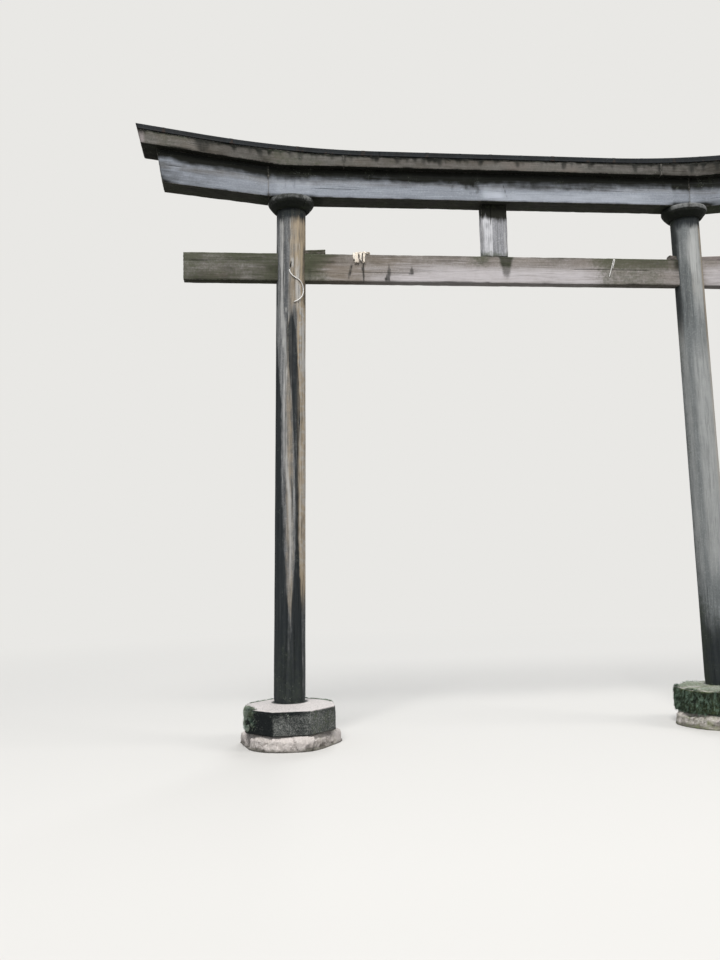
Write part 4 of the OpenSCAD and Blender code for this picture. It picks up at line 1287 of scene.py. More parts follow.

# %% [markdown]
# The upper lintel is the board under the roof. Rain that comes over the edge has drawn
# dark runs down its face, and algae grows between them. Its left tip is bleached. A thin
# band under the roof edge and the underside carry painted shade.

# %% Upper lintel
RUNS = (
    (-2.055, 0.030, 0.95), (-2.10, 0.010, 0.5), (-1.985, 0.012, 0.45), (-1.73, 0.010, 0.5),
    (-1.655, 0.014, 0.65), (-1.52, 0.008, 0.4), (-1.45, 0.012, 0.5), (-1.385, 0.014, 0.6),
    (-1.27, 0.008, 0.45), (-1.08, 0.014, 0.6), (-1.03, 0.008, 0.5), (-0.86, 0.010, 0.45),
    (-0.70, 0.014, 0.6), (-0.63, 0.007, 0.5), (-0.515, 0.010, 0.6), (-0.405, 0.014, 0.7),
    (-0.36, 0.007, 0.5), (-0.20, 0.010, 0.5), (-0.11, 0.012, 0.6), (0.0, 0.008, 0.45),
    (0.16, 0.013, 0.65), (0.20, 0.007, 0.5), (0.34, 0.010, 0.45), (0.50, 0.013, 0.7),
    (0.56, 0.007, 0.5), (0.69, 0.010, 0.6), (0.86, 0.009, 0.5), (1.03, 0.014, 0.8),
    (1.10, 0.008, 0.5), (1.22, 0.014, 0.7), (1.33, 0.010, 0.6), (1.46, 0.016, 0.75),
    (1.55, 0.010, 0.6), (1.66, 0.014, 0.7), (1.80, 0.010, 0.5), (1.93, 0.014, 0.6),
    (2.08, 0.010, 0.5), (2.22, 0.014, 0.6), (2.36, 0.010, 0.5),
)


def upper_marks(marks, grid, share, is_under):
    """Stains of the upper lintel: runs from the roof edge, algae, bleached tip.

    The underside and a thin band under the roof edge are painted shade.
    """
    x, is_face = grid[..., 0], ~is_under
    wander = rough(grid, (0.25, 0.3, 0.08), 301)
    patches = rough(grid, (0.14, 0.2, 0.07), 303)
    dampness = between(x, [-2.47, -2.10, -2.02, -1.62, -1.50, -1.20, -0.90,
                           -0.45, -0.10, 0.15, 0.55, 0.75, 1.60, 2.47],
                       [0.22, 0.12, 0.50, 0.46, 0.08, 0.14, 0.27,
                        0.38, 0.27, 0.12, 0.12, 0.46, 0.52, 0.20])
    fringe = np.clip(0.5 + 0.9 * rough(grid * [1.0, 0.2, 0.1], 0.034, 305), 0.0, 1.0)
    curtain = step_up(0.92 - 0.80 * fringe ** 2, 1.25 - 0.2 * fringe, share)
    # Painted shade: the underside, and a thin band at the top of the face under the roof edge.
    marks["dark"] += 0.84 * is_under + 0.70 * step_up(0.78, 1.0, share + 0.08 * wander) * is_face
    marks["dark"] += 0.68 * curtain * is_face
    marks["dark"] += dampness * (0.9 + 0.7 * patches) * is_face
    algae = (0.8 * band(x, -2.45, -2.12, 0.05) + band(x, -1.62, -1.05, 0.1)
             + 0.8 * band(x, 0.25, 0.46, 0.05) + 0.5 * band(x, -0.9, -0.5, 0.1))
    marks["green"] += 0.25 * is_under + is_face * (0.42 + 0.5 * patches) * algae
    marks["warm"] += (0.30 + 0.6 * patches) * is_face + 0.20 * band(x, -2.40, -1.9, 0.1) * is_face
    marks["warm"] += 0.5 * is_under
    marks["pale"] += 0.85 * step_up(-2.425, -2.455, x) * is_face
    marks["pale"] += 0.35 * is_face * band(x, -1.95, -1.70, 0.06) * (0.6 + patches)
    bleached = band(share, 0.1, 0.7, 0.15) * (0.6 + patches)
    marks["pale"] += 0.30 * is_face * band(x, -0.10, 1.35, 0.15) * bleached
    for at, wide, strength in RUNS:
        run = bell(x - 0.010 * wander, at, 1.7 * wide * (0.5 + 0.8 * share))
        reach = 0.80 - strength
        run = run * step_up(reach - 0.12, reach + 0.40, share)
        at_least(marks, "drip", 1.15 * strength * run * is_face)
    for at in (-1.08, 1.23):
        marks["dark"] += 0.2 * np.exp(-np.abs(x - at + 0.004 * patches) / 0.010)


UPPER_SPLITS = (
    (FRONT, 0.1, 0.03, -2.3, -1.9, 0.003), (FRONT, 0.3, 0.03, 1.5, 1.9, 0.003),
    (BACK, 0.0, 0.03, -1.9, 0.2, 0.006), (BACK, 0.2, 0.03, 0.5, 2.3, 0.006),
    (BOTTOM, 0.55, 0.02, -2.0, 0.2, 0.006), (BOTTOM, 0.40, 0.02, 0.4, 2.2, 0.006),
)
for node, x0, x1, seed in (
        ("upper_lintel_left", -UPPER_END, -1.08 - FIT, 31),
        ("upper_lintel_middle", -1.08, 1.23, 32),
        ("upper_lintel_right", 1.23 + FIT, UPPER_END, 33)):
    grid, marks, wood, share, is_under = lintel_bar(
        x0, x1, UPPER_HALF_DEPTH, 0.0395, upper_under, upper_top, UPPER_END, UPPER_SLANT,
        UPPER_SPLITS, seed, 0.005)
    upper_marks(marks, grid, share, is_under)
    add_skin(node, "_timber", grid, marks, wood, upper_lintel_timber)

# %% [markdown]
# The roof is two slopes of old dark sheet nailed over boards, with a cap along the
# ridge. The sheet is laid in lengths: each laps the next in a flat folded seam, and its
# front edge is turned down over the boards and hemmed. All of that is relief on a
# parallelogram section, so it catches the light at the edge.

# %% Finish: old painted sheet
def old_sheet():
    """Near-black paint gone dull, with chalky patches, rust at edges, dirt and algae."""
    material, tree, surface = new_material("roof_sheet")
    place = object_place(tree)
    big = cloud(tree, place, 5.0, 4.0, 0.6)
    small = cloud(tree, place, 60.0, 5.0, 0.65)
    tone = plus(tree, times(tree, big, 0.6), times(tree, small, 0.4))
    colour = blend(tree, ramp(tree, tone, 0.36, 0.64), paint(15, 18, 20), paint(33, 37, 40))
    dust = times(tree, ramp(tree, tone, 0.42, 0.62), mark(tree, "pale"))
    colour = over(tree, colour, dust, 0.45, paint(84, 90, 92))
    runs = ramp(tree, cloud(tree, stretched(tree, place, 40.0, 12.0, 5.0), 1.0, 3.0, 0.6), 0.50, 0.72)
    colour = over(tree, colour, runs, 0.14, paint(64, 70, 71))
    rust = ramp(tree, plus(tree, cloud(tree, place, 26.0, 5.0, 0.66),
                           times(tree, mark(tree, "warm"), 0.25)), 0.60, 0.74)
    colour = over(tree, colour, rust, 0.5, paint(62, 48, 38))
    life = growing(tree, place)
    colour = over(tree, colour, life["Film"], 0.8, paint(52, 60, 40))
    colour = over(tree, colour, life["Specks"], 0.2, paint(110, 118, 108))
    worn = worn_off(tree, place)
    colour = over(tree, colour, worn, 0.3, paint(78, 84, 83))
    colour = blend(tree, ramp(tree, mark(tree, "crack"), 0.1, 0.8), colour, paint(14, 15, 15))
    sheen = plus(tree, times(tree, tone, 0.30), 0.55)
    sheen = plus(tree, sheen, times(tree, life["Film"], 0.2))
    matt_surface(tree, surface, colour, sheen, 0.18, small, 0.0012, 0.6)
    return material


roof_sheet = old_sheet()

# %% Roof slopes
SEAM_FIRST, SEAM_SPACING, SEAM_HALF = -2.31, 0.455, 0.011
SEAM_LINES = np.array([-0.0145, -0.010, 0.0, 0.010, 0.0145])
ROOF_ROW = 0.014


def from_seam(x):
    """Distance from the middle of the nearest cross seam."""
    return np.abs((x - SEAM_FIRST + SEAM_SPACING / 2) % SEAM_SPACING - SEAM_SPACING / 2)


def seams(x):
    """1 on a folded cross seam, falling off at both its edges."""
    return step_up(SEAM_HALF + 0.003, SEAM_HALF - 0.001, from_seam(x))


def roof_slab(node, side, x0, x1, seed):
    """Half of the roof: rows along x; section front edge, slope, ridge side, underside."""
    inner, outer = FIT / 2, ROOF_HALF_DEPTH
    slope_lines = np.concatenate([
        np.linspace(outer - 0.004, outer - 0.016, 3), np.linspace(outer - 0.028, inner + 0.006, 8)])
    face_lines = np.array([0.06, 0.16, 0.30, 0.34, 0.38, 0.55, 0.72, 0.88, 0.97])
    flat = np.concatenate([
        np.full(len(face_lines), outer), slope_lines, [inner] * 3, slope_lines[::-1]])
    lift = np.concatenate([face_lines, np.ones(len(slope_lines)), [0.9, 0.5, 0.1],
                           np.zeros(len(slope_lines))])
    is_edge = np.concatenate([np.ones(len(face_lines)), np.zeros(len(flat) - len(face_lines))])
    is_top = (lift > 0.99).astype(float)
    near = [s + SEAM_LINES for s in np.arange(SEAM_FIRST, 2.5, SEAM_SPACING)
            if x0 + 0.03 < s < x1 - 0.03]
    along = lines_at(np.linspace(x0, x1, int((x1 - x0) / ROOF_ROW)), near)
    shrink = np.array([0.8, 0.5, 0.2])
    along = np.concatenate([np.full(3, x0), along, np.full(3, x1)])
    size = np.concatenate([shrink[::-1], np.ones(len(along) - 6), shrink])[:, None]
    middle = (inner + outer) / 2
    y_abs = middle + (flat - middle) * size
    share = 0.5 + (lift - 0.5) * size
    x = along[:, None] + 0.0 * y_abs
    for _ in range(3):
        z = roof_under(x, y_abs) + share * ROOF_THICK
        x = leaned(along, z, x0, x1, UPPER_END, upper_under, UPPER_SLANT)
    spots = xyz(x, side * y_abs, z)
    dents = rough(spots, (0.16, 0.08, 0.08), seed)
    fold = seams(x) * (size > 0.99)
    up = is_top * (-0.0022 + 0.0012 * dents + 0.0016 * fold)
    ragged = 0.0035 * np.clip(rough(spots, (0.05, 0.2, 0.2), seed + 4), 0.0, 1.0)
    hem = np.where(share < 0.33, 0.0, -0.0025)
    y_abs = y_abs + is_edge * (hem - 0.0012 + 0.0010 * dents + 0.0010 * fold)
    z = z + up + ragged * step_up(0.3, 0.0, share) * is_edge
    grid = xyz(x, side * y_abs, z)
    marks = blank_marks(x.shape)
    seam_side = band(from_seam(x), SEAM_HALF, SEAM_HALF + 0.003, 0.002) * (size > 0.99)
    marks["crack"] = 0.75 * seam_side + 0.7 * is_edge * band(share, 0.32, 0.37, 0.02)
    marks["edge"] = is_edge * (0.55 * step_up(0.85, 1.0, share) + 0.5 * step_up(0.1, 0.0, share))
    marks["warm"] = 0.5 * fold + 0.4 * is_edge * step_up(0.4, 0.0, share)
    marks["pale"] += 0.9 * is_top
    algae = np.clip(rough(spots, 0.3, seed + 5), 0.0, 1.0)
    marks["green"] = 0.25 * is_top + 0.35 * algae + 0.35 * (side > 0)
    add_skin(node, "_sheet", grid, marks, grid, roof_sheet)


ROOF_JOINT = 0.83
for side, label in ((-1, "front"), (1, "back")):
    roof_slab(f"roof_{label}_left", side, -UPPER_END, -ROOF_JOINT - FIT, 401)
    roof_slab(f"roof_{label}_middle", side, -ROOF_JOINT, ROOF_JOINT, 402)
    roof_slab(f"roof_{label}_right", side, ROOF_JOINT + FIT, UPPER_END, 403)

# %% [markdown]
# The ridge cap is a strip of the same sheet folded over a low batten. Its skin is a small
# rounded section that follows the sweep of the roof.

# %% Ridge cap
RIDGE_FLAT = ROOF_Z + ROOF_HALF_DEPTH * ROOF_SLOPE + ROOF_THICK


def ridge_cap(node, x0, x1, seed):
    """Low rounded section carried along the sweep, with lapped joints and dents."""
    turn = np.linspace(0.0, pi, 15)
    y_line = -RIDGE_HALF_WIDTH * np.sign(np.cos(turn)) * np.abs(np.cos(turn)) ** 0.55
    top_line = RIDGE_HEIGHT * np.abs(np.sin(turn)) ** 0.5
    under_y = np.linspace(RIDGE_HALF_WIDTH * 0.9, -RIDGE_HALF_WIDTH * 0.9, 6)
    y_line, top_line = np.concatenate([y_line, under_y]), np.concatenate([top_line, np.zeros(6)])
    eaves = -np.abs(y_line) * ROOF_SLOPE * (top_line < RIDGE_HEIGHT * 0.3)
    base = np.linspace(x0, x1, int((x1 - x0) / ROOF_ROW))
    along = np.concatenate([np.full(2, x0), base, np.full(2, x1)])
    size = np.concatenate([[0.3, 0.7], np.ones(len(base)), [0.7, 0.3]])[:, None]
    x = along[:, None] + 0.0 * y_line
    middle = RIDGE_HEIGHT / 2
    for _ in range(3):
        z = RIDGE_FLAT + sweep(x) + middle + (top_line - middle) * size + eaves * size
        x = leaned(along, z, x0, x1, UPPER_END, upper_under, UPPER_SLANT)
    y = y_line * size + 0.0 * x
    spots = xyz(x, y, z)
    fold = seams(x + 0.2) * (size > 0.99) * (top_line > 0.004)
    z = z - 0.0016 * (top_line > 0.004) + 0.0012 * fold + 0.0005 * rough(spots, 0.12, seed)
    grid = xyz(x, y, z)
    marks = blank_marks(x.shape)
    marks["warm"] = 0.5 * fold
    marks["green"] += 0.3
    marks["edge"] = 0.4 * (np.abs(y) > RIDGE_HALF_WIDTH * 0.8)
    add_skin(node, "_sheet", grid, marks, grid, roof_sheet)


ridge_cap("ridge_left", -UPPER_END, -ROOF_JOINT - FIT, 411)
ridge_cap("ridge_middle", -ROOF_JOINT, ROOF_JOINT, 412)
ridge_cap("ridge_right", ROOF_JOINT + FIT, UPPER_END, 413)

# %% [markdown]
# The plinths are eight-sided granite blocks. The tops are worn pale by feet and rain, the
# sides are dressed with a pick and dark with mould, and moss holds on where it is damp.

# %% Finish: granite and mortar
def old_stone(name, light, mid, deep, dust, mould_and_shade, moss, grain_scale, bump_depth):
    """Speckled stone: cells of three tones, pale worn top, moss film, lichen, and dark
    mouldy patches that also carry painted shade.
    """
    material, tree, surface = new_material(name)
    place = object_place(tree)
    squashed = stretched(tree, place, 1.0, 1.0, 0.6)
    ragged_place = shaken(tree, squashed, place, 0.9 * grain_scale, 2.2 / grain_scale)
    cell_inputs = {"Vector": ragged_place, "Scale": grain_scale}
    cells = put(tree, "TexVoronoi", cell_inputs).outputs["Color"]
    shade = put(tree, "SeparateColor", {0: cells}).outputs[0]
    colour = blend(tree, ramp(tree, shade, 0.30, 0.55), deep, mid)
    colour = blend(tree, ramp(tree, shade, 0.72, 0.86), colour, light)
    broad = cloud(tree, place, 9.0, 4.0, 0.6)
    fine = cloud(tree, place, 95.0, 5.0, 0.68)
    worn = worn_off(tree, place)
    pale_mask = ragged_stain_and_shade(tree, "pale", place, 0.7)
    dusty = blend(tree, ramp(tree, fine, 0.42, 0.78), dust, light)
    colour = over(tree, colour, pale_mask, 0.86, dusty)
    colour = over(tree, colour, ragged_stain_and_shade(tree, "dark", place, 0.8), 0.97, mould_and_shade)
    spots = times(tree, ramp(tree, fine, 0.56, 0.72), ramp(tree, broad, 0.45, 0.6))
    colour = over(tree, colour, spots, 0.4, light)
    life = growing(tree, place)
    colour = over(tree, colour, life["Film"], 0.9, moss)
    colour = over(tree, colour, life["Specks"], 0.35, LICHEN)
    colour = over(tree, colour, worn, 0.22, dust)
    cracked = ramp(tree, mark(tree, "crack"), 0.1, 0.9)
    colour = over(tree, colour, cracked, 0.8, paint(30, 30, 27))
    height = plus(tree, times(tree, fine, 0.7), times(tree, shade, 0.15))
    height = plus(tree, height, times(tree, life["Film"], 0.4))
    sheen = plus(tree, times(tree, broad, 0.15), 0.78)
    matt_surface(tree, surface, colour, sheen, 0.14, height, bump_depth, 0.85)
    return material


plinth_stone = old_stone(
    "plinth_stone", light=paint(146, 146, 142), mid=paint(104, 107, 104), deep=paint(72, 75, 73),
    dust=paint(214, 207, 204), mould_and_shade=paint(18, 23, 25), moss=paint(88, 98, 66),
    grain_scale=290.0, bump_depth=0.004)
bed_mortar = old_stone(
    "bed_mortar", light=paint(214, 208, 203), mid=paint(190, 183, 177), deep=paint(150, 142, 134),
    dust=paint(216, 207, 202), mould_and_shade=paint(84, 82, 72), moss=paint(112, 120, 74),
    grain_scale=130.0, bump_depth=0.008)

# %% Plinths
PLINTH_HALF, PLINTH_FOOT, PLINTH_FALL, SEAT_HALF = 0.296, 0.095, 0.018, 0.125
PLINTH_ROUNDING, RIM_R = 0.007, 0.010


def octagon(spacing, rounding):
    """Eight flats walked round once: place (ux, uy), way outwards (nx, ny), room to a corner.

    One flat faces +X and its corner follows it; both are then turned by eighths.
    """
    eighth = pi / 4.0
    half = PLINTH_HALF * tan(eighth / 2.0)
    reach = half - rounding * tan(eighth / 2.0)
    flat = np.linspace(-1.0, 1.0, int(2 * half / spacing))[1:-1]
    bend = np.linspace(0.0, eighth, 7)
    share = np.concatenate([flat, np.ones(len(bend))])
    lean = np.concatenate([0.0 * flat, bend])
    way = np.arange(8)[:, None] * eighth
    out, along = PLINTH_HALF - rounding, share * reach
    ux = (np.cos(way) * out - np.sin(way) * along).ravel()
    uy = (np.sin(way) * out + np.cos(way) * along).ravel()
    room = np.tile((1.0 - np.abs(share)) * reach, 8)
    return ux, uy, np.cos(way + lean).ravel(), np.sin(way + lean).ravel(), room


def plinth_grid(side, seed):
    """Rows: foot ring, side, rounded rim, top falling from the seat to the rim, middle."""
    ux, uy, nx, ny, room = octagon(0.0085, PLINTH_ROUNDING)
    rim_z = SEAT_Z - PLINTH_FALL
    under = [(s, PLINTH_FOOT) for s in (0.3, 0.7, 0.95)]
    wall = [(1.0, z) for z in np.linspace(PLINTH_FOOT + 0.002, rim_z - RIM_R, 22)]
    rim = [(1.0 - RIM_R * (1.0 - cos(t)) / PLINTH_HALF, rim_z - RIM_R + RIM_R * sin(t))
           for t in np.linspace(0.2, pi / 2.0, 5)]
    top = [(s, rim_z + PLINTH_FALL * min(1.0, PLINTH_HALF * (1 - s) / (PLINTH_HALF - SEAT_HALF)))
           for s in np.linspace(0.95, 0.05, 30)]
    rows = np.array(under + wall + rim + top)
    shrink, z = rows[:, 0][:, None], rows[:, 1][:, None] + 0.0 * ux
    x, y = shrink * (ux + nx * PLINTH_ROUNDING), shrink * (uy + ny * PLINTH_ROUNDING)
    spots = xyz(x + side * 3.0, y, z)
    is_wall = shrink > 0.99
    is_top = np.arange(len(rows))[:, None] >= len(under) + len(wall)
    near_corner = np.exp(-room / 0.012)[None, :] * is_wall
    near_rim = np.exp(-np.abs(z - rim_z) / 0.010) * (shrink > 0.93)
    chips = np.clip(rough(spots, 0.05, seed) - 0.02, 0.0, 1.0)
    pick = 0.0022 * np.abs(noise(spots, (0.016, 0.016, 0.030), seed + 1))
    pick += 0.0016 * rough(spots, 0.045, seed + 2)
    inwards = (pick + 0.001) * is_wall + 0.020 * chips * np.maximum(near_corner, near_rim)
    inwards = np.clip(inwards, 0.0004, 0.05)
    keep = 1.0 - inwards * (shrink > 0.9) / PLINTH_HALF
    x, y = x * keep, y * keep
    sink = 0.0012 + 0.0016 * np.abs(rough(spots, 0.04, seed + 3))
    sink = sink * is_top * step_up(0.112, 0.135, np.hypot(x, y))
    z = z - sink - 0.008 * chips * near_rim
    marks = blank_marks(x.shape)
    marks["edge"] = np.maximum(0.25 * near_corner, 0.8 * near_rim)
    grid = xyz(side * HALF_SPACING + x, y, z)
    return grid, marks, is_wall, is_top


def round_plinth(place, side):
    """Places near a plinth: distance from its axis, degrees from the front, and height."""
    x, y = place[..., 0] - side * HALF_SPACING, place[..., 1]
    return np.hypot(x, y), np.degrees(np.arctan2(x, -y)), place[..., 2]


# Left plinth: pale top with painted shade round the post's foot, a very dark front-left face,
# dark front, greenish right face
left_plinth_grid, marks, is_wall, is_top = plinth_grid(-1, 501)
r, a, z = round_plinth(left_plinth_grid, -1)
patchy = rough(left_plinth_grid, 0.07, 511)
under_rim = step_up(0.200, 0.245, z + 0.012 * patchy)
marks["pale"] = is_top * (1.05 + 0.2 * patchy) * step_up(0.11, 0.13, r)
marks["dark"] = is_wall * (band(a, -67.5, -22.5, 1.5) + 0.7 * step_up(65.0, 70.0, np.abs(a))
                           + (0.35 + 0.45 * under_rim + 0.5 * patchy) * band(a, -22.5, 22.5, 1.5)
                           + (0.26 + 0.25 * under_rim + 0.5 * patchy) * band(a, 22.5, 67.5, 1.5))
# Painted shade on the top, round the foot of the post.
marks["dark"] += 0.5 * is_top * step_up(0.135, 0.115, r)
marks["green"] = 0.35 * band(a, -80.0, -60.0, 5.0) + 0.22 * band(a, 22.5, 67.5, 2.0) + 0.08
marks["green"] *= is_wall
marks["green"] += is_top * (0.9 * step_up(0.255, 0.29, r) * step_up(110.0, 140.0, np.abs(a))
                            + 0.6 * step_up(0.275, 0.295, r) * band(a, -100.0, -64.0, 8.0))
add_skin("left_plinth", "_stone", left_plinth_grid, marks, left_plinth_grid,
         plinth_stone)

# Right plinth: the same block under a thick coat of moss
right_plinth_grid, marks, is_wall, is_top = plinth_grid(1, 521)
r, _, _ = round_plinth(right_plinth_grid, 1)
patchy = rough(right_plinth_grid, 0.07, 531)
marks["pale"] = is_top * (0.85 + 0.5 * patchy) * step_up(0.11, 0.13, r)
marks["dark"] += is_wall
marks["green"] = is_wall * 0.5 + is_top * (0.45 + 0.6 * patchy)
add_skin("right_plinth", "_stone", right_plinth_grid, marks, right_plinth_grid,
         plinth_stone)

# %% [markdown]
# Each plinth sits in a rough bed of mortar that was trowelled round it and has weathered
# into lumps. Its outline wavers round the plinth, and its rim is broken back in places.

# %% Mortar beds
BED_R, BED_HEIGHT = 0.334, 0.095


def broken_lumps(spots, seed, count):
    """Lumps round scattered middles: a number from -1 to 1 for each lump, and the gap mark.

    A point belongs to its nearest middle. Where the two nearest are about equally far,
    it lies in the gap between two lumps.
    """
    rng = np.random.default_rng(seed)
    turn = (np.arange(count) + rng.uniform(-0.35, 0.35, count)) * 2 * pi / count
    middles = xyz(BED_R * np.cos(turn), BED_R * np.sin(turn), rng.uniform(0.0, 0.10, count))
    away = np.linalg.norm(spots[..., None, :] - middles, axis=-1)
    nearest = np.sort(away, axis=-1)
    size = rng.uniform(-1.0, 1.0, count)[np.argmin(away, axis=-1)]
    return size, step_up(0.010, 0.001, nearest[..., 1] - nearest[..., 0])


def mortar_bed(label, side, turn, seed):
    """Lumpy slab: outline r = R(1 + waves), a sloping broken rim, flat under the plinth."""
    angles = np.radians(np.arange(-180.0, 180.0, 1.0))
    turn = radians(turn)
    wave = 1.0 + 0.045 * np.sin(3 * angles + turn) + 0.03 * np.sin(5 * angles + 2 * turn)
    # Points of the side from the middle of the underside: (share of the outline, height)
    profile = np.array([
        (0.4, 0.0), (0.8, 0.0), (0.97, 0.0), (1.0, 0.004), (1.0, 0.010), (1.0, 0.016),
        (1.0, 0.022), (0.999, 0.028), (0.997, 0.034), (0.995, 0.040), (0.993, 0.046),
        (0.991, 0.052), (0.989, 0.058), (0.985, 0.064), (0.979, 0.070), (0.970, 0.075),
        (0.958, 0.080), (0.942, 0.084), (0.925, 0.087), (0.905, 0.089), (0.885, 0.0905),
        (0.865, 0.0915), (0.84, 0.092), (0.80, 0.092), (0.5, 0.092), (0.2, 0.092)])
    share, a = np.meshgrid(profile[:, 0], angles, indexing="ij")
    z = profile[:, 1][:, None] + 0.0 * a
    edge_r = BED_R * wave
    x, y = share * edge_r * np.cos(a), share * edge_r * np.sin(a)
    spots = xyz(x + side * 5.0, y, z)
    outer = step_up(0.80, 0.93, share)
    wobble = 0.030 * np.stack([rough(spots, 0.04, seed + 20 + k) for k in range(3)], -1)
    lump, gap = broken_lumps(xyz(x, y, z) + wobble, seed, 19)
    lumps = np.abs(rough(spots, 0.045, seed, 4))
    bites = np.clip(rough(spots * [1, 1, 0.6], 0.11, seed + 3) - 0.12, 0.0, 1.0)
    crumbs = np.abs(rough(spots, 0.014, seed + 9, 3))
    back = 0.012 * lumps + 0.008 * crumbs + 0.07 * bites + 0.011 * (lump + 1.0) + 0.006 * gap
    back = back * outer * step_up(0.0, 0.012, z)
    keep = 1.0 - back / BED_R
    x, y = x * keep, np.clip(y * keep, -BED_R + 0.0005, BED_R - 0.0005)
    fallen = 0.008 * lumps + 0.004 * crumbs + 0.030 * bites + 0.009 * (lump + 1.0) + 0.003 * gap
    z = z - outer * step_up(0.05, 0.09, z) * fallen
    z = np.clip(z, 0.0, BED_HEIGHT - 0.0005)
    grid = xyz(side * HALF_SPACING + x, y, z)
    marks = blank_marks(x.shape)
    patchy = rough(spots, 0.08, seed + 6)
    marks["edge"] = 0.35 * band(share, 0.93, 0.99, 0.02)
    marks["dark"] = 0.75 * step_up(0.035, 0.0, z + 0.02 * patchy)
    marks["dark"] += 0.25 * np.clip(patchy - 0.1, 0, 1)
    marks["green"] = 0.15 + 0.5 * np.clip(patchy - 0.15, 0, 1) + 0.18 * (side > 0)
    marks["pale"] = 0.75 + 0.4 * patchy - 0.35 * np.clip(lump, 0, 1)
    marks["crack"] = np.clip(bites * 0.5 + 0.28 * gap + 0.3 * crumbs, 0.0, 0.5) * outer
    made = skin(label + "_bed_mortar", grid, marks, grid)
    finish_piece(made, label + "_mortar_bed", bed_mortar)


mortar_bed("left", -1, 25.0, 601)
mortar_bed("right", 1, 140.0, 611)

# %% [markdown]
# Moss is geometry, not paint: thousands of small pointed shoots stand on the stone where
# it is damp. Each shoot is a closed three-sided spike. They are all made at once as
# arrays, from random places on the grid of the plinth, chosen by how mossy each place is.

# %% Finish: moss
def moss_finish(name, root, body, tips, dry):
    """Dark at the root, brighter at the tips, in patches of green and dry yellow."""
    material, tree, surface = new_material(name)
    place = object_place(tree)
    patch = ramp(tree, cloud(tree, place, 24.0, 4.0, 0.6), 0.36, 0.64)
    colour = blend(tree, mark(tree, "shade"), body, tips)
    colour = over(tree, colour, patch, 0.45, dry)
    lit = ramp(tree, mark(tree, "tip"), -0.25, 0.95)
    colour = blend(tree, lit, root, colour)
    matt_surface(tree, surface, colour, 0.9, 0.2, cloud(tree, place, 420.0, 2.0), 0.0008)
    return material


fresh_moss = moss_finish("fresh_moss", paint(22, 34, 28), paint(82, 102, 88), paint(180, 194, 182),
                         paint(150, 154, 126))
deep_moss = moss_finish("deep_moss", paint(6, 11, 8), paint(15, 26, 20), paint(152, 180, 156),
                        paint(66, 76, 54))
pale_moss = moss_finish("pale_moss", paint(88, 98, 82), paint(142, 154, 136), paint(200, 210, 196),
                        paint(168, 170, 138))


def shoots(name, grid, wanted, count, length, droop, seed, finish, tuft_size=0.013):
    """Moss shoots: base ring of three points on the surface, tip along a drooping way."""
    rng = np.random.default_rng(seed)
    turned = np.roll(grid, -1, axis=1)
    a, b, c, d = grid[:-1], turned[:-1], turned[1:], grid[1:]
    normal = np.cross(c - a, d - b)
    area = np.linalg.norm(normal, axis=-1)
    normal = normal / np.maximum(area, 1e-12)[..., None]
    middle = (a + b + c + d) / 4.0
    hub = np.array([np.mean(grid[..., 0]), 0.0, 0.16])
    outward = np.sign(np.sum(normal * (middle - hub), axis=-1))
    normal = normal * np.where(outward == 0, 1, outward)[..., None]
    weight = (area * np.clip(wanted(middle), 0.0, 1.0)).ravel()
    pick = rng.choice(len(weight), size=count, p=weight / weight.sum())
    s, t = rng.random((2, count, 1))
    a, b, c, d = (v.reshape(-1, 3)[pick] for v in (a, b, c, d))
    base = (a * (1 - s) + b * s) * (1 - t) + (d * (1 - s) + c * s) * t
    n = normal.reshape(-1, 3)[pick]
    wander = rng.normal(size=(count, 3)) * 0.55
    way = n + wander + np.array([0.0, 0.0, -droop]) * (1.0 - np.abs(n[:, 2:]))
    way /= np.linalg.norm(way, axis=1)[:, None]
    tuft = np.clip(0.5 + 1.4 * rough(base * [1.0, 1.0, 0.40], tuft_size, seed + 1), 0.0, 1.2)
    reach = length * (0.45 + 0.85 * tuft) * rng.uniform(0.6, 1.25, count)
    width = rng.uniform(0.0009, 0.0018, count)
    across = np.cross(way, rng.normal(size=(count, 3)))
    across /= np.linalg.norm(across, axis=1)[:, None]
    third = np.cross(way, across)
    width = width[:, None]
    ring = [base - 0.002 * n + width * (across * cos(turn) + third * sin(turn))
            for turn in (0.0, 2 * pi / 3, 4 * pi / 3)]
    tip = base + way * reach[:, None]
    points = np.stack(ring + [tip], axis=1)
    low, high = np.array(cad_box[0]) + 0.0008, np.array(cad_box[1]) - 0.0008
    points = np.clip(points, low, high).reshape(-1, 3)
    first = np.arange(count)[:, None] * 4
    faces = np.concatenate([first + np.array(f) for f in ([0, 2, 1], [0, 1, 3], [1, 2, 3], [2, 0, 3])])
    shade = np.repeat(np.clip(0.30 * rng.random(count) + 1.7 * (tuft - 0.48), 0.0, 1.0), 4)
    is_tip = np.tile([0.0, 0.0, 0.0, 1.0], count)
    made = mesh_object(name, points, [faces], {"shade": shade, "tip": is_tip}, is_smooth=False)
    made.data.materials.append(finish)
    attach(made, "root")
    print(f"{name}: {count} shoots")


def left_rim_moss(place):
    """Back rim of the left plinth and a little down its left side."""
    r, a, z = round_plinth(place, -1)
    patch = step_up(-0.20, 0.55, rough(place, 0.035, 702) + 0.25)
    rim = step_up(0.250, 0.288, r) * step_up(95.0, 125.0, np.abs(a)) * (z > 0.19)
    side = 0.7 * band(a, -110.0, -80.0, 6.0) * step_up(0.13, 0.22, z) * (z < 0.246)
    return np.maximum(rim, side) * patch * (z > 0.1)


def left_corner_moss(place):
    """Tufts over the left corner of the left plinth, hanging down its edge."""
    r, a, z = round_plinth(place, -1)
    patch = step_up(-0.30, 0.35, rough(place, 0.028, 707) + 0.1 + 3.0 * (z - 0.20))
    return bell(a, -68.0, 9.0) * step_up(0.11, 0.20, z) * step_up(0.270, 0.284, r) * patch


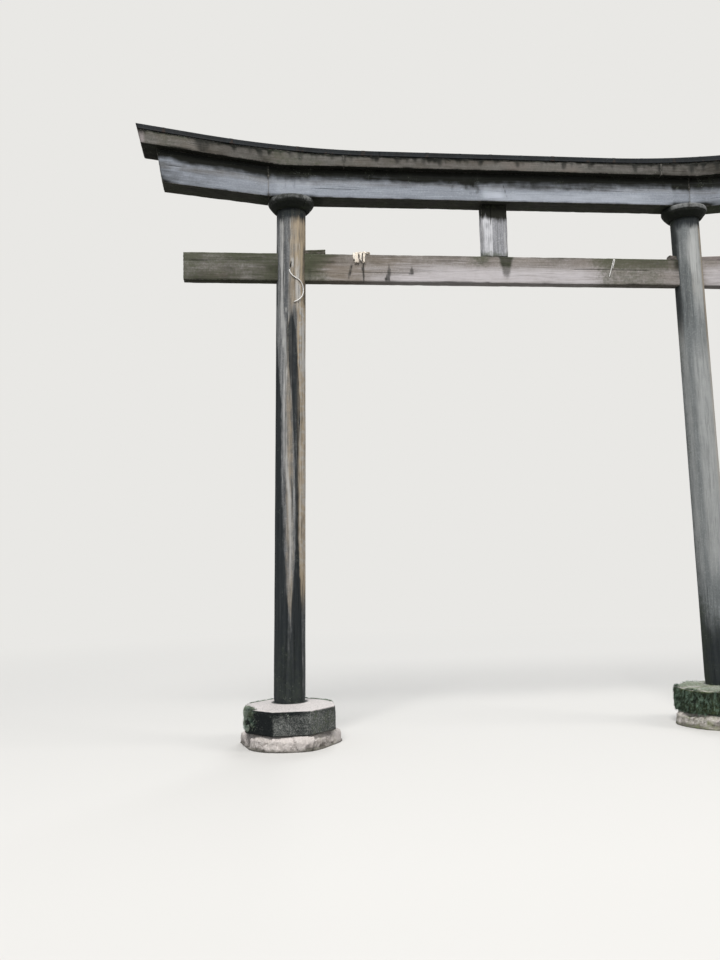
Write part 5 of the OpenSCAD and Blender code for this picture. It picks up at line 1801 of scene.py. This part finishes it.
def right_moss(place):
    """All round the sides of the right plinth."""
    r, _, z = round_plinth(place, 1)
    patch = step_up(-0.35, 0.4, rough(place, 0.06, 712))
    return step_up(0.288, 0.295, r) * (z > 0.096) * (0.35 + 0.65 * patch)


def right_top_moss(place):
    """Short pale moss on the top of the right plinth, up to the foot of the post."""
    r, _, z = round_plinth(place, 1)
    patch = step_up(-0.45, 0.1, rough(place, 0.07, 722))
    return (z > 0.2515) * step_up(0.112, 0.16, r) * patch


shoots("left_rim_moss", left_plinth_grid, left_rim_moss, 15000, 0.0075, 0.6, 701, fresh_moss)
shoots("left_corner_moss", left_plinth_grid, left_corner_moss, 9000, 0.0150, 1.3, 706, fresh_moss)
shoots("right_plinth_moss", right_plinth_grid, right_moss, 30000, 0.016, 1.7, 711, deep_moss, 0.008)
shoots("right_top_moss", right_plinth_grid, right_top_moss, 20000, 0.006, 0.0, 721, pale_moss)

# %% [markdown]
# Bits of old rope still cling to the timber: a string caught on the left post, a shorter
# one on the tie beam, and a wisp of straw. A string is three strands laid round each
# other, each a thin tube that turns about the route as it goes along.

# %% Thin tubes
def tubes(name, paths, radii, sides, finish, node, squeeze=1.0):
    """Tubes along many paths at once: a ring of points round each path point, ends closed."""
    count, steps = paths.shape[:2]
    ahead = np.gradient(paths, axis=1)
    ahead /= np.maximum(np.linalg.norm(ahead, axis=2), 1e-9)[..., None]
    helper = np.where(np.abs(ahead[..., 1:2]) < 0.8, [0.0, 1.0, 0.0], [1.0, 0.0, 0.0])
    first = np.cross(ahead, helper)
    first /= np.linalg.norm(first, axis=2)[..., None]
    second = np.cross(ahead, first)
    turn = np.arange(sides) * 2 * pi / sides
    ring = (first[:, :, None] * np.cos(turn)[None, None, :, None]
            + squeeze * second[:, :, None] * np.sin(turn)[None, None, :, None])
    points = paths[:, :, None] + ring * radii[:, :, None, None]
    body = points.reshape(count, steps * sides, 3)
    points = np.concatenate([body, paths[:, :1], paths[:, -1:]], axis=1)
    each = steps * sides + 2
    here = np.arange(steps * sides).reshape(steps, sides)
    beside = np.roll(here, -1, axis=1)
    quads = np.stack([here[:-1], beside[:-1], beside[1:], here[1:]], -1).reshape(-1, 4)
    start, stop = np.full(sides, steps * sides), np.full(sides, steps * sides + 1)
    ends = np.concatenate([np.stack([beside[0], here[0], start], -1),
                           np.stack([here[-1], beside[-1], stop], -1)])
    triangles = np.concatenate([quads[:, [0, 1, 2]], quads[:, [0, 2, 3]], ends])
    if enclosed(points[0] - points[0].mean(axis=0), triangles) < 0.0:
        quads, ends = quads[:, ::-1], ends[:, ::-1]
    shift = np.arange(count)[:, None, None] * each
    quads = (quads[None] + shift).reshape(-1, 4)
    ends = (ends[None] + shift).reshape(-1, 3)
    length = np.linspace(0.0, 1.0, steps)
    way = np.concatenate([np.repeat(length, sides), [0.0, 1.0]])
    round_it = np.concatenate([np.tile(turn, steps), [0.0, 0.0]])
    shade = np.random.default_rng(len(name)).random(count)
    wood = xyz(way * 0.3, 0.004 * np.cos(round_it) + shade[:, None], 0.004 * np.sin(round_it))
    made = mesh_object(name, points.reshape(-1, 3), [quads, ends],
                       {"shade": np.repeat(shade, each), "tip": np.tile(way, count)},
                       wood.reshape(-1, 3))
    finish_piece(made, node, finish)


def old_fibre(name, light, deep, grime, line_scale, dirty):
    """Dry plant fibre: fine lines along it, grey grime in patches."""
    material, tree, surface = new_material(name)
    wood = put(tree, "Attribute", attribute_name="wood").outputs["Vector"]
    place = object_place(tree)
    lines = cloud(tree, stretched(tree, wood, 30.0, line_scale, line_scale), 1.0, 3.0, 0.6)
    shade = times(tree, mark(tree, "shade"), 0.3)
    tone = plus(tree, times(tree, lines, 0.7), shade)
    colour = blend(tree, ramp(tree, tone, 0.3, 0.7), deep, light)
    dirt = ramp(tree, cloud(tree, place, 55.0, 4.0, 0.6), 0.48, 0.72)
    colour = over(tree, colour, dirt, dirty, grime)
    shader = matt_surface(tree, surface, colour, 0.88, 0.25, lines, 0.0008, 0.8)
    shader.inputs["Sheen Weight"].default_value = 0.15
    return material


white_string = old_fibre("white_string", light=paint(250, 249, 247), deep=paint(232, 230, 226),
                         grime=paint(200, 196, 188), line_scale=900.0, dirty=0.2)
dry_straw = old_fibre("dry_straw", light=paint(252, 246, 236), deep=paint(232, 219, 201),
                      grime=paint(160, 145, 124), line_scale=700.0, dirty=0.35)

# %% Strings
POST_STRING_R, BEAM_STRING_R, STAND_OFF = 0.0035, 0.0025, 0.0006
POST_ROUTE = np.array([
    (-9, -0.134), (-5, -0.158), (5, -0.180), (20, -0.196), (35, -0.211), (45, -0.233),
    (50, -0.264), (48, -0.298), (37, -0.328), (22, -0.350), (9, -0.362)], float)
BEAM_ROUTE = np.array([
    (1, -77), (3, -65), (8, -48), (13, -30), (17, -14), (11, -10), (5, -26), (-1, -46),
    (-8, -70), (-15, -94), (-22, -118), (-29, -139)], float) / 1000.0
BEAM_STRING_X = 0.860


def through(points, per_step):
    """Catmull-Rom curve: each stretch bends smoothly through its two end points."""
    padded = np.concatenate([2 * points[:1] - points[1:2], points, 2 * points[-1:] - points[-2:-1]])
    p0, p1, p2, p3 = padded[:-3, None], padded[1:-2, None], padded[2:-1, None], padded[3:, None]
    t = np.linspace(0.0, 1.0, per_step, endpoint=False)[None, :, None]
    curve = 0.5 * (2 * p1 + (p2 - p0) * t + (2 * p0 - 5 * p1 + 4 * p2 - p3) * t * t
                   + (3 * p1 - p0 - 3 * p2 + p3) * t ** 3)
    return np.concatenate([curve.reshape(-1, points.shape[1]), points[-1:]])


def laid_strands(centre, outward, radius, pitch):
    """Three strands that turn round the route: offset 0.46 R, one turn for each pitch."""
    ahead = np.gradient(centre, axis=0)
    ahead /= np.linalg.norm(ahead, axis=1)[:, None]
    side = np.cross(ahead, outward)
    side /= np.linalg.norm(side, axis=1)[:, None]
    outward = np.cross(side, ahead)
    gone = np.concatenate([[0.0], np.cumsum(np.linalg.norm(np.diff(centre, axis=0), axis=1))])
    paths = []
    for k in range(3):
        turn = gone / pitch * 2 * pi + k * 2 * pi / 3
        round_it = outward * np.cos(turn)[:, None] + side * np.sin(turn)[:, None]
        paths.append(centre + 0.46 * radius * round_it)
    taper = np.minimum(1.0, 0.35 + np.minimum(gone, gone[-1] - gone) / 0.012)
    print(f"string of {gone[-1] * 1000:.0f} mm")
    return np.array(paths), np.array([0.56 * radius * taper] * 3)


route = through(POST_ROUTE, 26)
turn, z = np.radians(route[:, 0]), TIE_TOP + route[:, 1]
r = post_r(z) + POST_STRING_R + STAND_OFF
outward = xyz(np.sin(turn), -np.cos(turn), 0.0)
centre = xyz(-post_x(z), 0.0, z) + outward * r[:, None]
paths, radii = laid_strands(centre, outward, POST_STRING_R, 0.020)
tubes("post_string_strands", paths, radii, 8, white_string, "post_string")

route = through(BEAM_ROUTE, 24)
y = -TIE_HALF_DEPTH - BEAM_STRING_R - STAND_OFF
centre = xyz(BEAM_STRING_X + route[:, 0], y, TIE_TOP + route[:, 1])
outward = np.tile([0.0, -1.0, 0.0], (len(centre), 1))
paths, radii = laid_strands(centre, outward, BEAM_STRING_R, 0.016)
tubes("beam_string_strands", paths, radii, 8, white_string, "beam_string")

# %% Straw
def stalks(count, x_range, begin_range, length_range, lift_range, curl, drift, thick_range):
    """Stalks that lie on the beam from the back to the front edge and hang over it.

    Along a stalk t goes from 0 to 1. Its place runs forward over the top of the beam,
    rises by lift * sin(pi curl t), turns over the edge and drops by what is left of it.
    """
    t = np.linspace(0.0, 1.0, 12)[None, :]
    begin, length, lift, thick = (
        rng.uniform(*limits, (count, 1))
        for limits in (begin_range, length_range, lift_range, thick_range))
    gone = begin + length * t
    over = np.clip(gone - STRAW_EDGE, 0.0, 1.0)
    y = -np.minimum(gone, STRAW_EDGE + 0.010 * (1.0 - np.exp(-over / 0.010)) + 0.006)
    drop = np.clip(over - 0.006, 0.0, 1.0)
    rise = 0.003 + lift * np.sin(pi * np.minimum(curl * t, 1.0)) * np.exp(-drop / 0.012)
    x = rng.uniform(*x_range, (count, 1)) + rng.normal(0.0, drift, (count, 1)) * t
    x = x + 0.25 * drift * np.sin(9.0 * t + rng.uniform(0.0, 6.0, (count, 1)))
    paths = xyz(np.clip(x, STRAW_LEFT, STRAW_RIGHT), np.clip(y, -0.0595, -0.003),
                np.clip(TIE_TOP + rise - drop, 3.259, 3.342))
    return paths, thick * (1.0 - 0.6 * step_up(0.8, 1.0, t))


STRAW_LEFT, STRAW_RIGHT, STRAW_EDGE = -1.028, -0.902, TIE_HALF_DEPTH - 0.004
rng = np.random.default_rng(811)
bundles = [stalks(*row) for row in (
    (2, (-1.025, -1.016), (0.024, 0.030), (0.054, 0.062), (0.004, 0.008), 1.25, 0.003, (0.0050, 0.0066)),
    (3, (-1.004, -0.994), (0.024, 0.030), (0.084, 0.094), (0.004, 0.008), 1.25, 0.004, (0.0050, 0.0066)),
    (5, (-0.976, -0.966), (0.014, 0.028), (0.066, 0.080), (0.004, 0.010), 1.25, 0.005, (0.0020, 0.0030)),
    (5, (-0.952, -0.940), (0.014, 0.028), (0.074, 0.096), (0.004, 0.010), 1.25, 0.006, (0.0022, 0.0034)),
    (60, (-0.972, -0.906), (0.004, 0.022), (0.012, 0.034), (0.009, 0.018), 0.55, 0.024, (0.0018, 0.0034)),
    (24, (-1.018, -0.925), (0.006, 0.030), (0.015, 0.034), (0.005, 0.015), 0.8, 0.018, (0.0012, 0.0022)),
)]
paths = np.concatenate([bundle[0] for bundle in bundles])
thick = np.concatenate([bundle[1] for bundle in bundles])
tubes("straw_stalks", paths, thick, 6, dry_straw, "straw_wisp", squeeze=0.6)

# %% [markdown]
# A plain studio: one wide pale floor that fades into a pale backdrop, a large soft lamp in
# front, weaker ones at the right and behind. The floor shows pale to the camera and
# sends little light back up, as dark ground under trees does.

# %% Floor and backdrop
BACKDROP = paint(233, 232, 229)
FLOOR_R = 70.0
turn = np.linspace(0.0, 2 * pi, 97)[:-1]
rings = np.array([0.5, 1.5, 3.0, 6.0, 12.0, 25.0, FLOOR_R])
xs, ys = rings[:, None] * np.cos(turn), rings[:, None] * np.sin(turn)
points = np.concatenate([xyz(xs, ys, 0.0).reshape(-1, 3), [[0.0, 0.0, 0.0]]])
here = np.arange(rings.size * turn.size).reshape(rings.size, turn.size)
beside = np.roll(here, -1, axis=1)
quads = np.stack([here[:-1], here[1:], beside[1:], beside[:-1]], -1).reshape(-1, 4)
middle = np.stack([np.full(turn.size, len(points) - 1), here[0], beside[0]], -1)
floor = mesh_object("floor", points, [quads, middle], {}, is_smooth=False)


def seen_directly(tree):
    """1 for rays from the camera, also off a gloss or through glass; 0 for light's own."""
    path = put(tree, "LightPath").outputs
    bent = work(tree, "MAXIMUM", path["Is Glossy Ray"], path["Is Transmission Ray"])
    return work(tree, "MAXIMUM", path["Is Camera Ray"], bent)


floor_finish, tree, surface = new_material("pale_floor")
place = object_place(tree)
away = put(tree, "VectorMath", {0: place}, operation="LENGTH").outputs["Value"]
seen = seen_directly(tree)
floor_colour = blend(tree, seen, paint(112, 110, 106), paint(206, 204, 200))
floor_shader = put(tree, "BsdfPrincipled", {
    "Base Color": floor_colour, "Roughness": 0.9, "Specular IOR Level": 0.1})
far_glow = put(tree, "Emission", {"Color": BACKDROP, "Strength": 1.0})
far = times(tree, ramp(tree, away, 2.5, 11.0), seen)
mixed = put(tree, "MixShader", {0: far, 1: floor_shader.outputs[0], 2: far_glow.outputs[0]})
tree.links.new(mixed.outputs[0], surface)
floor.data.materials.append(floor_finish)

# %% World and lamps
SKY_STRENGTH = 0.50
world = bpy.data.worlds.new("soft sky")
world.use_nodes = True
tree = world.node_tree
tree.nodes.clear()
seen = seen_directly(tree)
sky = put(tree, "Background", {"Color": paint(238, 243, 250), "Strength": SKY_STRENGTH})
backdrop = put(tree, "Background", {"Color": BACKDROP, "Strength": 1.0})
both = put(tree, "MixShader", {0: seen, 1: sky.outputs[0], 2: backdrop.outputs[0]})
tree.links.new(both.outputs[0], put(tree, "OutputWorld").inputs["Surface"])
bpy.context.scene.world = world


def soft_lamp(name, place, target, size, watts, colour):
    """Square area lamp that looks from its place at a target."""
    data = bpy.data.lights.new(name, "AREA")
    data.size, data.energy, data.color = size, watts, colour
    lamp = bpy.data.objects.new(name, data)
    away = Vector(place) - Vector(target)
    lamp.matrix_world = Matrix.Translation(place) @ away.to_track_quat("Z", "Y").to_matrix().to_4x4()
    bpy.context.scene.collection.objects.link(lamp)


soft_lamp("front lamp", (-5.0, -13.0, 20.0), (0.0, 0.0, 2.4), 9.0, 5000.0, (1.0, 0.99, 0.975))
soft_lamp("right lamp", (15.0, -7.0, 12.0), (0.0, 0.0, 2.2), 8.0, 1100.0, (1.0, 0.975, 0.95))
soft_lamp("back lamp", (4.0, 16.0, 14.0), (0.0, 0.0, 2.4), 9.0, 1400.0, (0.96, 0.98, 1.0))
bpy.context.scene.view_settings.view_transform = "Standard"

print("cad box", cad_box)
